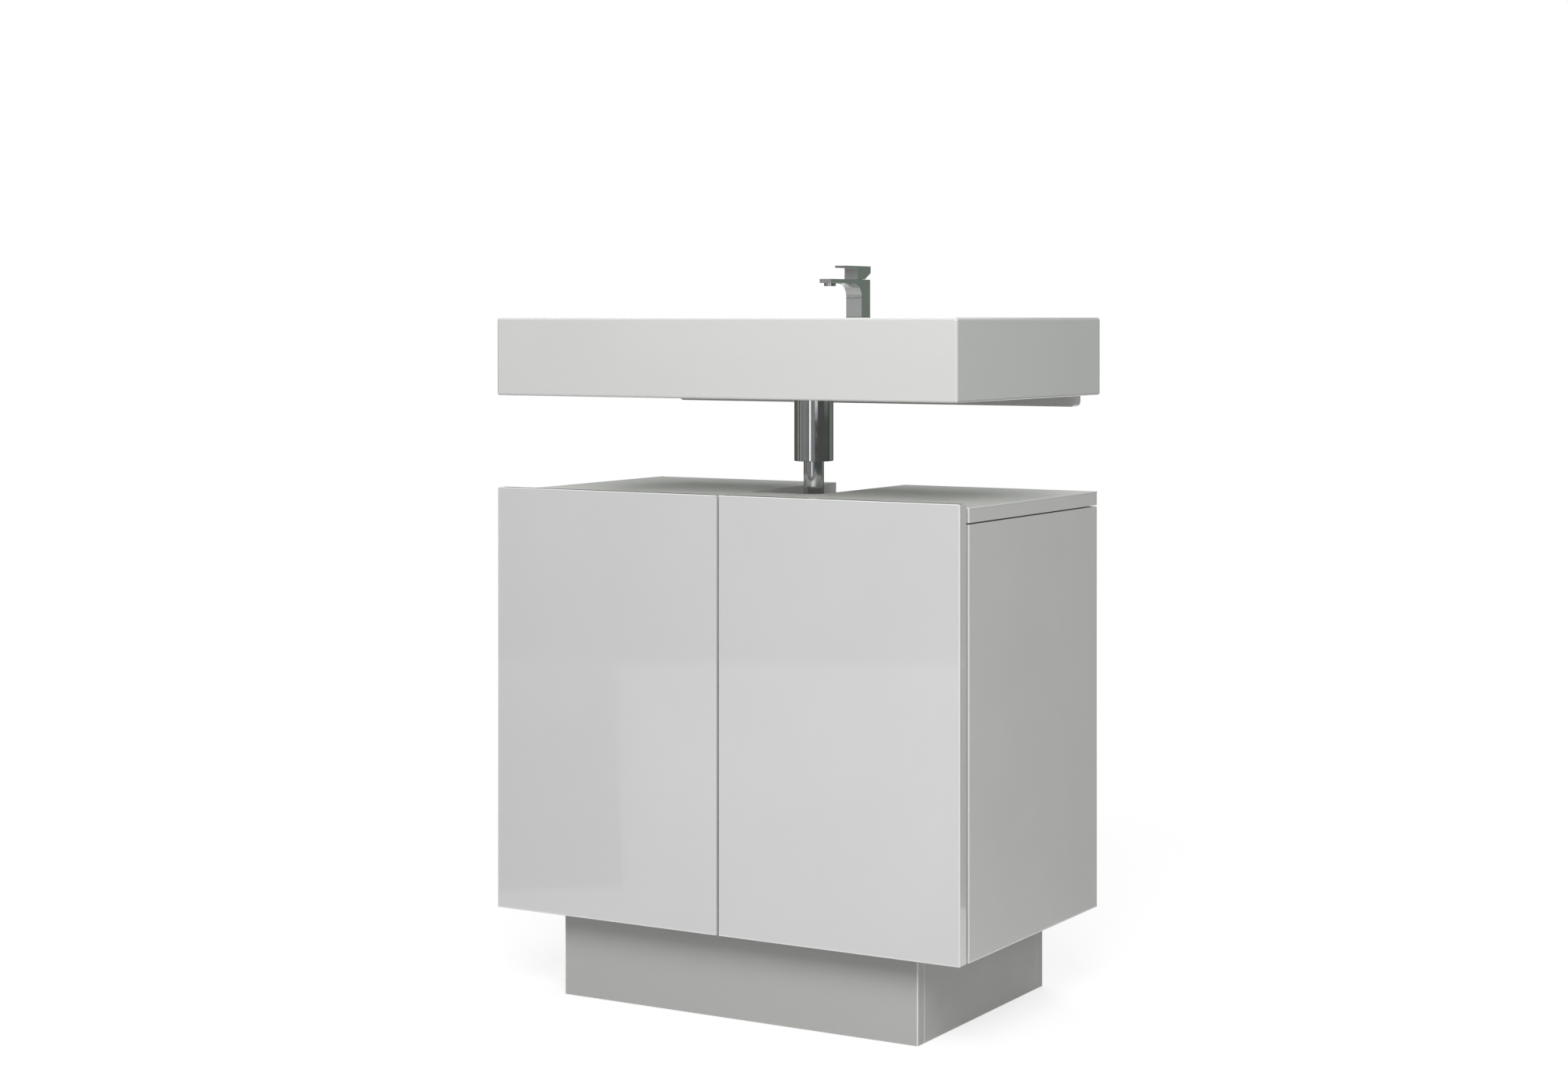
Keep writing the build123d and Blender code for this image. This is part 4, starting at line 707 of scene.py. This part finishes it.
def add_aerator_grille(materials):
    """Perforated insert in the spout's outlet: rings and bars just inside its mouth."""
    low, high = (Vector(v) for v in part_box("tap_aerator"))
    x, y = (low[0] + high[0]) / 2, (low[1] + high[1]) / 2
    z = low[2] + GRILLE_LIFT
    bm = bmesh.new()
    for radius in GRILLE_RADII:
        grille_ring(bm, x, y, z, radius)
    up = Vector((0, 0, GRILLE_BAR_HEIGHT))
    for i in range(GRILLE_BARS):
        angle = math.pi * i / GRILLE_BARS
        along = Vector((math.cos(angle), math.sin(angle), 0))
        across = Vector((-along.y, along.x, 0)) * GRILLE_BAR_HALF_WIDTH
        rings = []
        for reach in (-GRILLE_BAR_REACH, GRILLE_BAR_REACH):
            end = Vector((x, y, z)) + along * reach
            rings.append([end - across, end + across, end + across + up, end - across + up])
        closed_tube(bm, rings)
    piece("tap_aerator_grille", bm, materials["latch_plastic"], BODY_OF["tap_aerator"])


# ------------------------------------------------------------------ grip ribs of the trap
RIB_COUNT = 36
RIB_LOW = 0.013  # ends of the ribs, below the cup's top
RIB_HIGH = 0.002
RIB_HALF_WIDTH = 0.0011
RIB_PROUD = 0.0007
RIB_END_PROUD = 0.25  # at the very ends, as a share of RIB_PROUD
RIB_TAPER = 0.0012  # length over which they rise to RIB_PROUD
RIB_ROOT = 0.0004  # sunk into the cup
RIB_STEPS = 4


def add_grip_ribs(materials, name, node, low_z, high_z, radius):
    """Rounded finger ribs round a trap part."""
    low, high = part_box(node)
    x, y = (low[0] + high[0]) / 2, (low[1] + high[1]) / 2
    sections = ((low_z, RIB_END_PROUD), (low_z + RIB_TAPER, 1.0),
                (high_z - RIB_TAPER, 1.0), (high_z, RIB_END_PROUD))
    bm = bmesh.new()
    for angle in turns(RIB_COUNT):
        out = Vector((math.cos(angle), math.sin(angle), 0))
        across = Vector((-out.y, out.x, 0))
        rings = []
        for z, size in sections:
            base = Vector((x, y, z))
            foot = base + out * (radius - RIB_ROOT)
            arch = []
            for k in range(RIB_STEPS + 1):
                turn = math.pi * k / RIB_STEPS
                arch.append(base + out * (radius + RIB_PROUD * size * math.sin(turn))
                            - across * (RIB_HALF_WIDTH * math.cos(turn)))
            rings.append([foot - across * RIB_HALF_WIDTH, *arch, foot + across * RIB_HALF_WIDTH])
        closed_tube(bm, rings)
    piece(name, bm, materials[SLOT_OF[node]], BODY_OF[node])


def add_fine_pieces(materials):
    add_bands(materials)
    add_screws(materials)
    add_aerator_grille(materials)
    stud_low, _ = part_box("tap_stud")
    nut_low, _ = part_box("tap_nut")
    add_thread(materials, "tap_stud_thread", "tap_stud", STUD_PROUD,
               stud_low[2] + THREAD_FOOT, nut_low[2] - STUD_NUT_GAP)
    inlet_low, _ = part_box("tap_inlets")
    add_thread(materials, "tap_inlet_thread", "tap_inlets", INLET_PROUD,
               inlet_low[2] + THREAD_FOOT, inlet_low[2] + INLET_THREAD_TOP)
    cup_low, cup_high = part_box("trap_cup")
    add_grip_ribs(materials, "trap_cup_ribs", "trap_cup", cup_high[2] - RIB_LOW,
                  cup_high[2] - RIB_HIGH, (cup_high[0] - cup_low[0]) / 2)


# ------------------------------------------------------------------ run
bpy.context.scene.view_settings.view_transform = "Standard"
add_camera()
add_world()
add_floor()
add_lights()
add_screens()
MATERIALS = build_materials()
dress_cad(MATERIALS)
add_fine_pieces(MATERIALS)
